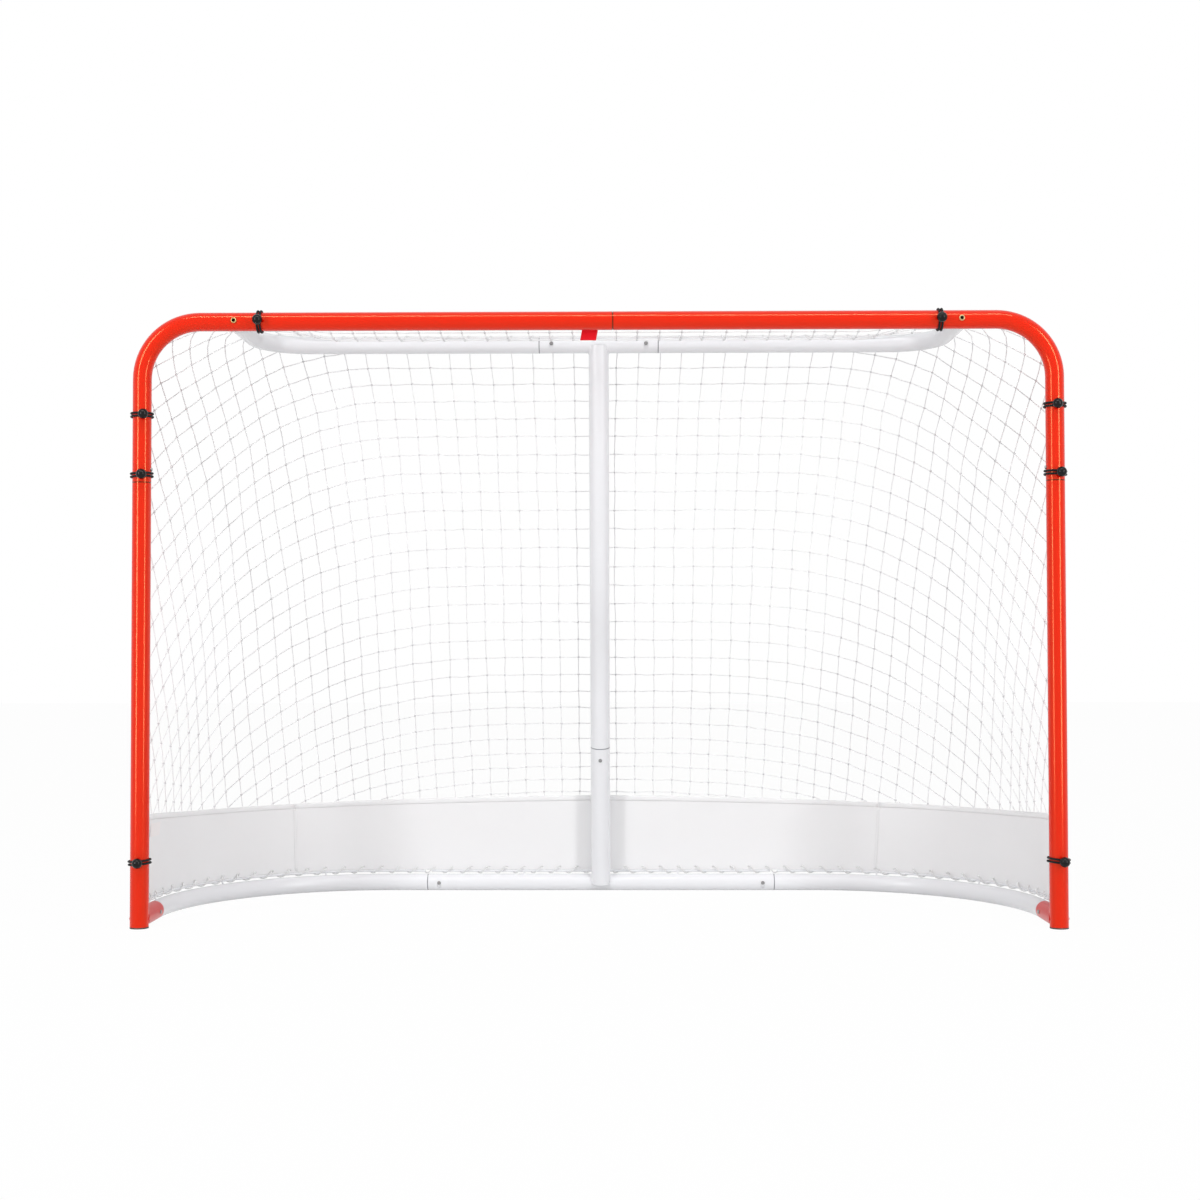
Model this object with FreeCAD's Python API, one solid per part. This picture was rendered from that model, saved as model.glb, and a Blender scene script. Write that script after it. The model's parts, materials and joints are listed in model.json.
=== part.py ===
import FreeCAD, Part
import math
import os

# Hockey goal net: a free-standing steel goal with a plug-together tube frame, a netted back,
# a vinyl skirt and elastic ball ties. Lengths are in millimetres, angles in degrees.
# Seen from in front of the goal, X points right, Y goes from the mouth to the back of the net
# and Z points up from the ice. Left and right are as seen from the front.
# The pieces are drawn with Y = 0 at the posts' centre lines. save() moves them to the part's
# origin, the middle of its footprint on the ice.

V = FreeCAD.Vector

# Goal mouth and front frame
MOUTH_WIDTH = 1828.8
MOUTH_HEIGHT = 1219.2
TUBE_OD = 38.1
TUBE_WALL = 1.65
FRONT_BEND = 118.0
CROSSBAR_JOINT_X = 32.0
POST_JOINT_Z = 908.0
FOOT_THICKNESS = 3.0
FOOT_STEM = 16.0

# Rear frame
BASE_DEPTH = 572.0
BASE_BEND = 445.0
BASE_JOINT_X = 406.0
SOCKET_LENGTH = 122.0
SHELF_DEPTH = 285.0
SHELF_BEND = 108.0
SHELF_ARM_X = 742.0
SHELF_JOINT_X = 131.0
UPRIGHT_OD = 44.45
UPRIGHT_WALL = 1.65
STUB_LENGTH = 330.0
UPRIGHT_FOOT_SHIFT = 10.0

# Lacing rods on the base
ROD_DIAMETER = 5.0
ROD_LIFT = 27.0
ROD_ANGLE = 22.0
ROD_END_GAP = 8.0
ROD_FRONT_Y = 45.0
ROD_STUD_DIAMETER = 4.0
ROD_STUD_TURNS = 6

# Plug-in joints and their spring buttons
SLIP = 0.15
RIM_GAP = 0.5
INSERT_LENGTH = 60.0
SWAGE_LENGTH = 8.0
BUTTON_SETBACK = 27.0
BUTTON_DIAMETER = 8.0
BUTTON_CLEARANCE = 0.3
BUTTON_PROUD = 2.5
BUTTON_ROUND = 1.6
BUTTON_TRAVEL = 4.8
SLOT_LENGTH = 16.0
LEAF_WIDTH = 10.0
LEAF_THICKNESS = 0.8
LEAF_LENGTH = 30.0
LEAF_TAIL = 6.0
LEAF_GAP = 0.3

# Bolts that hold the shelf arms to the crossbar
BOLT_DIAMETER = 6.35
BOLT_LENGTH = 62.0
BOLT_HEAD_DIAMETER = 12.0
BOLT_HEAD_HEIGHT = 3.6
BOLT_HEX = 4.0
BOLT_HEX_DEPTH = 2.2
BOLT_CLEARANCE = 0.15
INSERT_PLUG_LENGTH = 25.0

# Netting, skirt and lacing. The netting's holes are drawn at twice the real mesh.
NET_TWINE = 2.5
NET_ROWS = 14
BACK_NET_COLUMNS = 14
SIDE_NET_COLUMNS = 3
TOP_NET_COLUMNS = 20
TOP_NET_SAG = 30.0
TOP_NET_REST = 8.0
TOP_NET_FLAT = 42.0
TOP_NET_SLOPE = 140.0
TOP_NET_ROWS = 4
CLOTH_GAP = 0.4
SKIRT_THICKNESS = 1.0
SKIRT_HEIGHT = 178.5
SKIRT_ROD_GAP = 0.5
SEAM_LEFT = 29.0
SEAM_RIGHT = 19.6
SIDE_NET_SPANS = 3
LACE_DIAMETER = 3.0
LACE_PITCH = 42.0
LACE_RADIUS = 7.2
LACE_ABOVE_ROD = 2.8
LACE_END_CLEARANCE = 6.0
EYELET_DIAMETER = 6.6

# Ball ties, tag and label
BALL_DIAMETER = 21.0
TIE_CORD = 4.5
TIE_SPREAD = 6.4
TIE_GAP = 0.4
TIE_CHANNEL = 0.3
TIE_START_ANGLE = 6.0
TIE_END_ANGLE = 12.0
TIE_BELOW_BEND = {"left": 73.75, "right": 58.0}
TIE_BELOW_BUTTON = 11.5
TIE_LOW_HEIGHTS = {"left": 134.0, "right": 137.0}
TIE_BALL_GAP = 2.0
TIE_TILTS = {"top": 0.0, "middle": 2.0, "low": 5.0}
TIE_TURNS = {"left": {"top": 18.0, "middle": 12.0, "low": 5.0},
             "right": {"top": -2.0, "middle": 11.0, "low": 10.0}}
CROSSBAR_TIE_X = {"left": 692.0, "right": 700.0}
TAG_WIDTH = 33.0
TAG_X = -9.0
TAG_LENGTH = 58.0
TAG_SLANT = -10.0
TAG_THICKNESS = 1.2
LABEL_HEIGHT = 28.0
LABEL_WIDTH = 48.0
LABEL_TOP_BELOW_HEM = 22.0
LABEL_FROM_EDGE = 56.0
LABEL_THICKNESS = 0.6
LABEL_GAP = 0.5

WELD_GAP = 0.1

# Sizes worked out from the driving ones
TUBE_R = TUBE_OD / 2
POST_X = MOUTH_WIDTH / 2 + TUBE_R
CROSSBAR_Z = MOUTH_HEIGHT + TUBE_R
POST_STRAIGHT_Z = CROSSBAR_Z - FRONT_BEND
SHELF_Z = CROSSBAR_Z
BASE_Z = TUBE_R
LEAN = math.atan2(BASE_DEPTH - SHELF_DEPTH, SHELF_Z - BASE_Z)
ROD_OUT = ROD_LIFT * math.sin(math.radians(ROD_ANGLE))
ROD_UP = ROD_LIFT * math.cos(math.radians(ROD_ANGLE))
ROD_Z = BASE_Z + ROD_UP
LACE_OUT = ROD_OUT - LACE_ABOVE_ROD * math.sin(LEAN)
LACE_UP = ROD_UP + LACE_ABOVE_ROD * math.cos(LEAN)
NET_OFFSET = (TUBE_R + CLOTH_GAP + NET_TWINE / 2) / math.cos(LEAN)
UPRIGHT_SHIFT = (UPRIGHT_OD / 2 - TUBE_R + CLOTH_GAP) / math.cos(LEAN)
SKIRT_BOTTOM = ROD_Z + ROD_DIAMETER / 2 + SKIRT_ROD_GAP
SKIRT_TOP = SKIRT_BOTTOM + SKIRT_HEIGHT
NET_TOP = CROSSBAR_Z + TUBE_R + CLOTH_GAP
EDGE_Y = TUBE_R + 2 * TIE_GAP + TIE_CORD + NET_TWINE / 2
TIE_RADIUS = TUBE_R + TIE_GAP + TIE_CORD / 2
FRONT_REACH = TUBE_R + TIE_GAP + BALL_DIAMETER
BACK_REACH = BASE_DEPTH + TUBE_R
ORIGIN_Y = (BACK_REACH - FRONT_REACH) / 2
ORIGIN = V(0, ORIGIN_Y, 0)
SEAM_L = math.radians(SEAM_LEFT)
SEAM_R = math.radians(SEAM_RIGHT)
UP = V(0, 0, 1)
BACKWARDS = V(0, 1, 0)
RIGHT = V(1, 0, 0)


def save(name, shape):
    """Writes one node, moved to the part's origin."""
    moved = shape.copy()
    moved.translate(ORIGIN * -1)
    moved.exportStep("parts/" + name + ".step")
    print(name, "solids", len(shape.Solids), "valid", shape.isValid(), "volume", round(shape.Volume))


def mirrored(shape):
    """The same piece on the other side of the goal."""
    return shape.mirror(V(0, 0, 0), RIGHT)


def ring(radius_out, radius_in, length, base, axis):
    """A straight length of tube."""
    outer = Part.makeCylinder(radius_out, length, base, axis)
    return outer.cut(Part.makeCylinder(radius_in, length, base, axis))


def round_bar(path, radius):
    """A round bar swept along a path of lines and arcs."""
    first = path[0]
    start = first.valueAt(first.FirstParameter)
    tangent = first.tangentAt(first.FirstParameter)
    profile = Part.Wire([Part.Circle(start, tangent, radius).toShape()])
    return Part.Wire(path).makePipeShell([profile], True, False)


def bent_tube(path, radius, wall):
    """A bent length of tube."""
    return round_bar(path, radius).cut(round_bar(path, radius - wall))


def line(a, b):
    """A straight edge."""
    return Part.LineSegment(a, b).toShape()


def arc(a, middle, b):
    """An arc through three points."""
    return Part.Arc(a, middle, b).toShape()


def swaged_end(rim, axis, radius=TUBE_R, wall=TUBE_WALL):
    """The reduced end of a tube that plugs into its neighbour: rim is the shoulder, and axis points out."""
    plug = radius - wall - SLIP
    shoulder = ring(radius - wall / 2, plug - wall, SWAGE_LENGTH, rim - axis * SWAGE_LENGTH, axis)
    return shoulder.fuse(ring(plug, plug - wall, INSERT_LENGTH, rim - axis * 0.01, axis))


def placed(shape, origin, along, out):
    """Moves a shape from its own axes (X along the tube, Z out of it) to a place on a tube."""
    side = out.cross(along)
    matrix = FreeCAD.Matrix(along.x, side.x, out.x, origin.x,
                            along.y, side.y, out.y, origin.y,
                            along.z, side.z, out.z, origin.z, 0, 0, 0, 1)
    return shape.transformed(matrix)


class Joint:
    """A plug-in joint: rim is where the two tubes meet, and plug points into the outer tube."""

    def __init__(self, rim, plug, out, radius=TUBE_R, wall=TUBE_WALL, slotted=False):
        self.rim = rim
        self.plug = plug
        self.out = out
        self.radius = radius
        self.wall = wall
        self.slotted = slotted
        self.centre = rim + plug * BUTTON_SETBACK
        self.bore = radius - 2 * wall - SLIP
        self.leaf_top = math.sqrt(self.bore ** 2 - (LEAF_WIDTH / 2) ** 2) - LEAF_GAP

    def hole(self):
        """The round hole in the inner tube, and in an outer tube with no slot."""
        hole = Part.makeCylinder(BUTTON_DIAMETER / 2 + BUTTON_CLEARANCE, self.radius + BUTTON_PROUD)
        return placed(hole, self.centre, self.plug * -1, self.out)

    def outer_hole(self):
        """The hole or slot in the outer tube."""
        if not self.slotted:
            return self.hole()
        radius = BUTTON_DIAMETER / 2 + BUTTON_CLEARANCE
        reach = SLOT_LENGTH - BUTTON_DIAMETER
        depth = self.radius + BUTTON_PROUD
        down = V(0, 0, -1)
        box = Part.makeBox(2 * radius, reach, depth, V(-radius, 0, 0))
        end = Part.makeCylinder(radius, depth, V(0, reach, 0))
        slot = box.fuse(end).fuse(Part.makeCylinder(radius, depth))
        return placed(slot, self.centre, down.cross(self.out), self.out)

    def button(self):
        """The button and the leaf that carries it."""
        low = self.leaf_top - LEAF_THICKNESS / 2
        stem = Part.makeCylinder(BUTTON_DIAMETER / 2, self.radius + BUTTON_PROUD - low, V(0, 0, low))
        top = [e for e in stem.Edges if abs(e.CenterOfMass.z - self.radius - BUTTON_PROUD) < 0.01]
        stem = stem.makeFillet(BUTTON_ROUND, [e for e in top if e.Length > BUTTON_DIAMETER])
        leaf = Part.makeBox(LEAF_TAIL + LEAF_LENGTH, LEAF_WIDTH, LEAF_THICKNESS,
                            V(-LEAF_TAIL, -LEAF_WIDTH / 2, self.leaf_top - LEAF_THICKNESS))
        return placed(stem.fuse(leaf), self.centre, self.plug * -1, self.out)

    def spring(self):
        """The rest of the spring: its bend and the leaf on the far wall."""
        start = LEAF_LENGTH + LEAF_GAP
        across = V(0, -LEAF_WIDTH / 2, 0)
        bend = Part.makeCylinder(self.leaf_top, LEAF_WIDTH, across + V(start, 0, 0), BACKWARDS)
        bend = bend.cut(Part.makeCylinder(self.leaf_top - LEAF_THICKNESS, LEAF_WIDTH,
                                          across + V(start, 0, 0), BACKWARDS))
        keep = Part.makeBox(2 * self.radius, LEAF_WIDTH, 2 * self.radius,
                            across + V(start, 0, -self.radius))
        leg = Part.makeBox(LEAF_TAIL + start, LEAF_WIDTH, LEAF_THICKNESS,
                           V(-LEAF_TAIL, -LEAF_WIDTH / 2, -self.leaf_top))
        return placed(bend.common(keep).fuse(leg), self.centre, self.plug * -1, self.out)


# Joints. The names are those of the buttons.
FRONTWARDS = V(0, -1, 0)
UPRIGHT_FOOT = V(0, BASE_DEPTH - UPRIGHT_FOOT_SHIFT, BASE_Z)
UPRIGHT_HEAD = V(0, SHELF_DEPTH - UPRIGHT_SHIFT, SHELF_Z)
UPRIGHT_AXIS = (UPRIGHT_HEAD - UPRIGHT_FOOT).normalize()
UPRIGHT_FRONT = RIGHT.cross(UPRIGHT_AXIS)
STUB_RIM = UPRIGHT_FOOT + UPRIGHT_AXIS * STUB_LENGTH

JOINTS = {
    "left_post_button": Joint(V(-POST_X, 0, POST_JOINT_Z), UP, RIGHT),
    "right_post_button": Joint(V(POST_X, 0, POST_JOINT_Z), UP, RIGHT * -1),
    "crossbar_button": Joint(V(CROSSBAR_JOINT_X, 0, CROSSBAR_Z), RIGHT * -1, BACKWARDS),
    "left_socket_button": Joint(V(-POST_X, SOCKET_LENGTH, BASE_Z), FRONTWARDS, RIGHT),
    "right_socket_button": Joint(V(POST_X, SOCKET_LENGTH, BASE_Z), FRONTWARDS, RIGHT * -1),
    "base_left_button": Joint(V(-BASE_JOINT_X, BASE_DEPTH, BASE_Z), RIGHT, FRONTWARDS, slotted=True),
    "base_right_button": Joint(V(BASE_JOINT_X, BASE_DEPTH, BASE_Z), RIGHT * -1, FRONTWARDS, slotted=True),
    "shelf_left_button": Joint(V(-SHELF_JOINT_X, SHELF_DEPTH, SHELF_Z), RIGHT, FRONTWARDS, slotted=True),
    "shelf_right_button": Joint(V(SHELF_JOINT_X, SHELF_DEPTH, SHELF_Z), RIGHT * -1, FRONTWARDS,
                                slotted=True),
    "upright_button": Joint(STUB_RIM, UPRIGHT_AXIS * -1, UPRIGHT_FRONT, UPRIGHT_OD / 2, UPRIGHT_WALL),
}


def shelf_bolt_hole(x):
    """The hole for a shelf bolt, through both walls of the crossbar."""
    return Part.makeCylinder(BOLT_DIAMETER / 2 + BOLT_CLEARANCE, 2 * TUBE_OD, V(x, -TUBE_OD, CROSSBAR_Z),
                             BACKWARDS)


def corner_path(side, end_x, end_z):
    """The centre line of a corner tube, from its post joint to its crossbar joint."""
    bend_x = side * (POST_X - FRONT_BEND)
    cos45 = math.cos(math.pi / 4)
    foot = V(side * POST_X, 0, end_z)
    turn_low = V(side * POST_X, 0, POST_STRAIGHT_Z)
    turn_mid = V(bend_x + side * FRONT_BEND * cos45, 0, POST_STRAIGHT_Z + FRONT_BEND * cos45)
    turn_high = V(bend_x, 0, CROSSBAR_Z)
    end = V(end_x, 0, CROSSBAR_Z)
    return [line(foot, turn_low), arc(turn_low, turn_mid, turn_high), line(turn_high, end)]


def make_front_frame():
    """Two corner tubes, two posts, and the foot plugs in the posts."""
    post_left = JOINTS["left_post_button"]
    post_right = JOINTS["right_post_button"]
    cross = JOINTS["crossbar_button"]
    left = bent_tube(corner_path(-1, CROSSBAR_JOINT_X - RIM_GAP, POST_JOINT_Z + RIM_GAP), TUBE_R, TUBE_WALL)
    left = left.cut(shelf_bolt_hole(-SHELF_ARM_X))
    save("left_corner_tube", left.cut(post_left.hole()).cut(cross.hole()))
    right = bent_tube(corner_path(1, CROSSBAR_JOINT_X, POST_JOINT_Z + RIM_GAP), TUBE_R, TUBE_WALL)
    right = right.fuse(swaged_end(V(CROSSBAR_JOINT_X, 0, CROSSBAR_Z), RIGHT * -1))
    right = right.cut(shelf_bolt_hole(SHELF_ARM_X))
    save("right_corner_tube", right.cut(post_right.hole()).cut(cross.hole()))
    for name, side, joint in (("left_post", -1, post_left), ("right_post", 1, post_right)):
        foot = V(side * POST_X, 0, FOOT_THICKNESS)
        post = ring(TUBE_R, TUBE_R - TUBE_WALL, POST_JOINT_Z - FOOT_THICKNESS, foot, UP)
        save(name, post.fuse(swaged_end(joint.rim, UP)).cut(joint.hole()))
    plugs = []
    for side in (-1, 1):
        foot = V(side * POST_X, 0, 0)
        disc = Part.makeCylinder(TUBE_R, FOOT_THICKNESS, foot)
        stem = Part.makeCylinder(TUBE_R - TUBE_WALL - SLIP, FOOT_STEM, foot)
        plugs.append(disc.fuse(stem))
    save("foot_plugs", Part.makeCompound(plugs))


def make_sockets():
    """The short tubes welded behind the posts, which take the ends of the base."""
    for side, name in ((-1, "left"), (1, "right")):
        joint = JOINTS[name + "_socket_button"]
        axis_start = V(side * POST_X, 0, BASE_Z)
        socket = ring(TUBE_R, TUBE_R - TUBE_WALL, SOCKET_LENGTH - RIM_GAP, axis_start, BACKWARDS)
        post = Part.makeCylinder(TUBE_R + WELD_GAP, 4 * TUBE_OD, V(side * POST_X, 0, -TUBE_OD))
        save(name + "_base_socket", socket.cut(post).cut(joint.hole()))


def make_base():
    """The base: two large corner tubes and a straight centre tube."""
    cos45 = math.cos(math.pi / 4)
    for side, name in ((-1, "left"), (1, "right")):
        socket = JOINTS[name + "_socket_button"]
        centre = JOINTS["base_" + name + "_button"]
        bend_x = side * (POST_X - BASE_BEND)
        bend_y = BASE_DEPTH - BASE_BEND
        start = V(side * POST_X, bend_y, BASE_Z)
        middle = V(bend_x + side * BASE_BEND * cos45, bend_y + BASE_BEND * cos45, BASE_Z)
        end = V(bend_x, BASE_DEPTH, BASE_Z)
        tube = bent_tube([line(socket.rim, start), arc(start, middle, end), line(end, centre.rim)],
                         TUBE_R, TUBE_WALL)
        tube = tube.fuse(swaged_end(socket.rim, socket.plug)).fuse(swaged_end(centre.rim, centre.plug))
        save("base_" + name + "_tube", tube.cut(socket.hole()).cut(centre.hole()))
    reach = BASE_JOINT_X - RIM_GAP
    centre = ring(TUBE_R, TUBE_R - TUBE_WALL, 2 * reach, V(-reach, BASE_DEPTH, BASE_Z), RIGHT)
    for name in ("base_left_button", "base_right_button"):
        centre = centre.cut(JOINTS[name].outer_hole())
    save("base_centre_tube", centre)


def make_upright():
    """The upright: a stub welded on the base, and the upper tube welded under the shelf."""
    joint = JOINTS["upright_button"]
    radius = UPRIGHT_OD / 2
    base_bar = Part.makeCylinder(TUBE_R + WELD_GAP, 4 * UPRIGHT_OD, V(-2 * UPRIGHT_OD, BASE_DEPTH, BASE_Z), RIGHT)
    stub = ring(radius, radius - UPRIGHT_WALL, STUB_LENGTH - RIM_GAP, UPRIGHT_FOOT, UPRIGHT_AXIS)
    save("upright_lower_tube", stub.cut(base_bar).cut(joint.hole()))
    length = (UPRIGHT_HEAD - STUB_RIM).Length
    shelf_bar = Part.makeCylinder(TUBE_R + WELD_GAP, 4 * UPRIGHT_OD, V(-2 * UPRIGHT_OD, SHELF_DEPTH, SHELF_Z),
                                  RIGHT)
    upper = ring(radius, radius - UPRIGHT_WALL, length, STUB_RIM, UPRIGHT_AXIS).cut(shelf_bar)
    upper = upper.fuse(swaged_end(STUB_RIM, UPRIGHT_AXIS * -1, radius, UPRIGHT_WALL))
    save("upright_upper_tube", upper.cut(joint.hole()))


def make_shelf():
    """The shelf: two arms that bend into the rear bar, and the bar's centre tube."""
    cos45 = math.cos(math.pi / 4)
    crossbar = Part.makeCylinder(TUBE_R + WELD_GAP, 2 * POST_X, V(-POST_X, 0, CROSSBAR_Z), RIGHT)
    for side, name in ((-1, "left"), (1, "right")):
        joint = JOINTS["shelf_" + name + "_button"]
        bend_x = side * (SHELF_ARM_X - SHELF_BEND)
        bend_y = SHELF_DEPTH - SHELF_BEND
        front = V(side * SHELF_ARM_X, 0, SHELF_Z)
        start = V(side * SHELF_ARM_X, bend_y, SHELF_Z)
        middle = V(bend_x + side * SHELF_BEND * cos45, bend_y + SHELF_BEND * cos45, SHELF_Z)
        end = V(bend_x, SHELF_DEPTH, SHELF_Z)
        tube = bent_tube([line(front, start), arc(start, middle, end), line(end, joint.rim)],
                         TUBE_R, TUBE_WALL).cut(crossbar)
        save("shelf_" + name + "_tube", tube.fuse(swaged_end(joint.rim, joint.plug)).cut(joint.hole()))
    reach = SHELF_JOINT_X - RIM_GAP
    centre = ring(TUBE_R, TUBE_R - TUBE_WALL, 2 * reach, V(-reach, SHELF_DEPTH, SHELF_Z), RIGHT)
    for name in ("shelf_left_button", "shelf_right_button"):
        centre = centre.cut(JOINTS[name].outer_hole())
    save("shelf_centre_tube", centre)


def make_shelf_fasteners():
    """A bolt through the crossbar at each shelf arm, and the threaded plug inside the arm."""
    bolts = []
    plugs = []
    crossbar = Part.makeCylinder(TUBE_R + WELD_GAP, 2 * POST_X, V(-POST_X, 0, CROSSBAR_Z), RIGHT)
    for side in (-1, 1):
        seat = V(side * SHELF_ARM_X, -TUBE_R, CROSSBAR_Z)
        head = Part.makeCylinder(BOLT_HEAD_DIAMETER / 2, BOLT_HEAD_HEIGHT, seat, FRONTWARDS)
        rim = [e for e in head.Edges if e.Length > BOLT_HEAD_DIAMETER
               and e.CenterOfMass.y < seat.y - BOLT_HEAD_HEIGHT / 2]
        head = head.makeFillet(BOLT_HEAD_HEIGHT * 0.6, rim)
        hexagon = Part.makePolygon([V(seat.x + BOLT_HEX / math.sqrt(3) * math.cos(k * math.pi / 3),
                                      seat.y - BOLT_HEAD_HEIGHT,
                                      seat.z + BOLT_HEX / math.sqrt(3) * math.sin(k * math.pi / 3))
                                    for k in range(7)])
        socket = Part.Face(hexagon).extrude(V(0, BOLT_HEX_DEPTH, 0))
        shank = Part.makeCylinder(BOLT_DIAMETER / 2, BOLT_LENGTH, seat, BACKWARDS)
        bolts.append(head.cut(socket).fuse(shank))
        plug = ring(TUBE_R - TUBE_WALL - SLIP, BOLT_DIAMETER / 2 + BOLT_CLEARANCE,
                    TUBE_R + INSERT_PLUG_LENGTH, V(seat.x, 0, CROSSBAR_Z), BACKWARDS)
        plugs.append(plug.cut(crossbar))
    save("shelf_bolts", Part.makeCompound(bolts))
    save("arm_inserts", Part.makeCompound(plugs))


def make_buttons():
    """Each spring button in its own node, and the springs' fixed halves as one group."""
    for name, joint in JOINTS.items():
        save(name, joint.button())
    save("button_springs", Part.makeCompound([joint.spring() for joint in JOINTS.values()]))


def cloth_corner(z):
    """Centre and radius, in plan, of the round corner of the netting and skirt at a height."""
    share = (z - ROD_Z) / (SHELF_Z - ROD_Z)
    base = (POST_X - BASE_BEND, BASE_DEPTH - BASE_BEND, BASE_BEND + ROD_OUT)
    shelf = (SHELF_ARM_X - SHELF_BEND, SHELF_DEPTH - SHELF_BEND, SHELF_BEND + NET_OFFSET)
    return [low + (high - low) * share for low, high in zip(base, shelf)]


def cloth_edge_x(z):
    """How far out the front edge of the netting and skirt is, behind the post and its bend."""
    if z <= POST_STRAIGHT_Z:
        share = (z - ROD_Z) / (POST_STRAIGHT_Z - ROD_Z)
        return POST_X + ROD_OUT * (1 - share)
    if z <= CROSSBAR_Z:
        return POST_X - FRONT_BEND + math.sqrt(FRONT_BEND ** 2 - (z - POST_STRAIGHT_Z) ** 2)
    x, y, radius = cloth_corner(NET_TOP)
    share = (z - CROSSBAR_Z) / (NET_TOP - CROSSBAR_Z)
    return (POST_X - FRONT_BEND) * (1 - share) + (x + radius) * share


def side_angle(z):
    """The angle from +Y at which the straight side stretch meets the round corner."""
    x, y, radius = cloth_corner(z)
    dx = cloth_edge_x(z) - x
    dy = EDGE_Y - y
    return math.atan2(dx, dy) - math.acos(min(1.0, radius / math.hypot(dx, dy)))


def on_corner(z, angle, offset):
    """A point of the round corner, offset outwards from the middle of the cloth."""
    x, y, radius = cloth_corner(z)
    return V(x + (radius + offset) * math.sin(angle), y + (radius + offset) * math.cos(angle), z)


def on_edge(z, offset):
    """A point of the front edge, offset outwards."""
    angle = side_angle(z)
    return V(cloth_edge_x(z) + offset * math.sin(angle), EDGE_Y + offset * math.cos(angle), z)


def corner_arc(z, a, b, offset):
    """An edge along the round corner between two angles."""
    return arc(on_corner(z, a, offset), on_corner(z, (a + b) / 2, offset), on_corner(z, b, offset))


def cloth_reach(start, out):
    """How far out the cloth is from a point inside it, along an outward direction."""
    x, y, radius = cloth_corner(start.z)
    from_centre = start - V(x, y, start.z)
    if from_centre.x <= 0:
        return y + radius - start.y
    ahead = from_centre.dot(out)
    reach = math.sqrt(radius ** 2 - from_centre.Length ** 2 + ahead ** 2) - ahead
    hit = from_centre + out * reach
    turn = side_angle(start.z)
    if math.atan2(hit.x, hit.y) <= turn:
        return reach
    facing = V(math.sin(turn), math.cos(turn), 0)
    return (on_corner(start.z, turn, 0) - start).dot(facing) / out.dot(facing)


def side_net_section(z, span, half):
    """The outline at a height of one stretch of the side net; span 0 is the straight one."""
    turn = side_angle(z)
    if span == 0:
        corners = [on_edge(z, half), on_corner(z, turn, half), on_corner(z, turn, -half), on_edge(z, -half)]
        return Part.makePolygon(corners + corners[:1])
    a = turn * (1 - (span - 1) / SIDE_NET_SPANS)
    b = turn * (1 - span / SIDE_NET_SPANS)
    return Part.Wire([corner_arc(z, a, b, half), line(on_corner(z, b, half), on_corner(z, b, -half)),
                      corner_arc(z, b, a, -half), line(on_corner(z, a, -half), on_corner(z, a, half))])


def side_net_point(z, span, share):
    """A point along one stretch of the side net."""
    turn = side_angle(z)
    if span == 0:
        start = on_edge(z, 0)
        return start + (on_corner(z, turn, 0) - start) * share
    return on_corner(z, turn * (1 - (span - 1 + share) / SIDE_NET_SPANS), 0)


def net_heights(top):
    """The heights of the net's rows of twine."""
    return [SKIRT_TOP + (top - SKIRT_TOP) * k / NET_ROWS for k in range(NET_ROWS + 1)]


def side_net_windows(span):
    """The holes of one stretch of the side net, as bars to cut away."""
    reach = 4 * TUBE_OD
    bars = []
    heights = net_heights(NET_TOP)
    for low, high in zip(heights, heights[1:]):
        bottom = low + (NET_TWINE if low == heights[0] else NET_TWINE / 2)
        top = high - (NET_TWINE if high == heights[-1] else NET_TWINE / 2)
        for k in range(SIDE_NET_COLUMNS):
            a = side_net_point((low + high) / 2, span, k / SIDE_NET_COLUMNS)
            b = side_net_point((low + high) / 2, span, (k + 1) / SIDE_NET_COLUMNS)
            along = (b - a).normalize()
            out = along.cross(UP)
            margins = (NET_TWINE if k == 0 else NET_TWINE / 2,
                       -NET_TWINE if k == SIDE_NET_COLUMNS - 1 else -NET_TWINE / 2)
            corners = []
            for z, order in ((bottom, (0, 1)), (top, (1, 0))):
                for end in order:
                    point = side_net_point(z, span, (k + end) / SIDE_NET_COLUMNS)
                    place = a + along * ((point - a).dot(along) + margins[end])
                    corners.append(V(place.x, place.y, z) - out * (reach / 2))
            bars.append(Part.Face(Part.makePolygon(corners + corners[:1])).extrude(out * reach))
    return bars


def make_side_nets():
    """The side nets: a straight stretch behind each post, and the round corner in a few spans.

    Each span is in two pieces, which meet at the twine below the front frame's bend.
    """
    rows = net_heights(NET_TOP)
    split = max(z for z in rows if z < POST_STRAIGHT_Z)
    lower = [SKIRT_TOP + (split - SKIRT_TOP) * k / 6 for k in range(7)]
    upper = [split, POST_STRAIGHT_Z, POST_STRAIGHT_Z + FRONT_BEND * 0.5, POST_STRAIGHT_Z + FRONT_BEND * 0.8,
             CROSSBAR_Z, (CROSSBAR_Z + NET_TOP) / 2, NET_TOP]
    pieces = []
    for span in range(SIDE_NET_SPANS + 1):
        windows = Part.makeCompound(side_net_windows(span))
        for heights in (lower, upper):
            sections = [side_net_section(z, span, NET_TWINE / 2) for z in heights]
            pieces.append(Part.makeLoft(sections, True, True).cut(windows))
    right = Part.makeCompound(pieces)
    save("right_side_net", right)
    save("left_side_net", mirrored(right))


def back_point(z, x):
    """A point on the flat back, on its inner face."""
    centre_x, y, radius = cloth_corner(z)
    return V(x, y + radius - NET_TWINE / 2, z)


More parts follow.
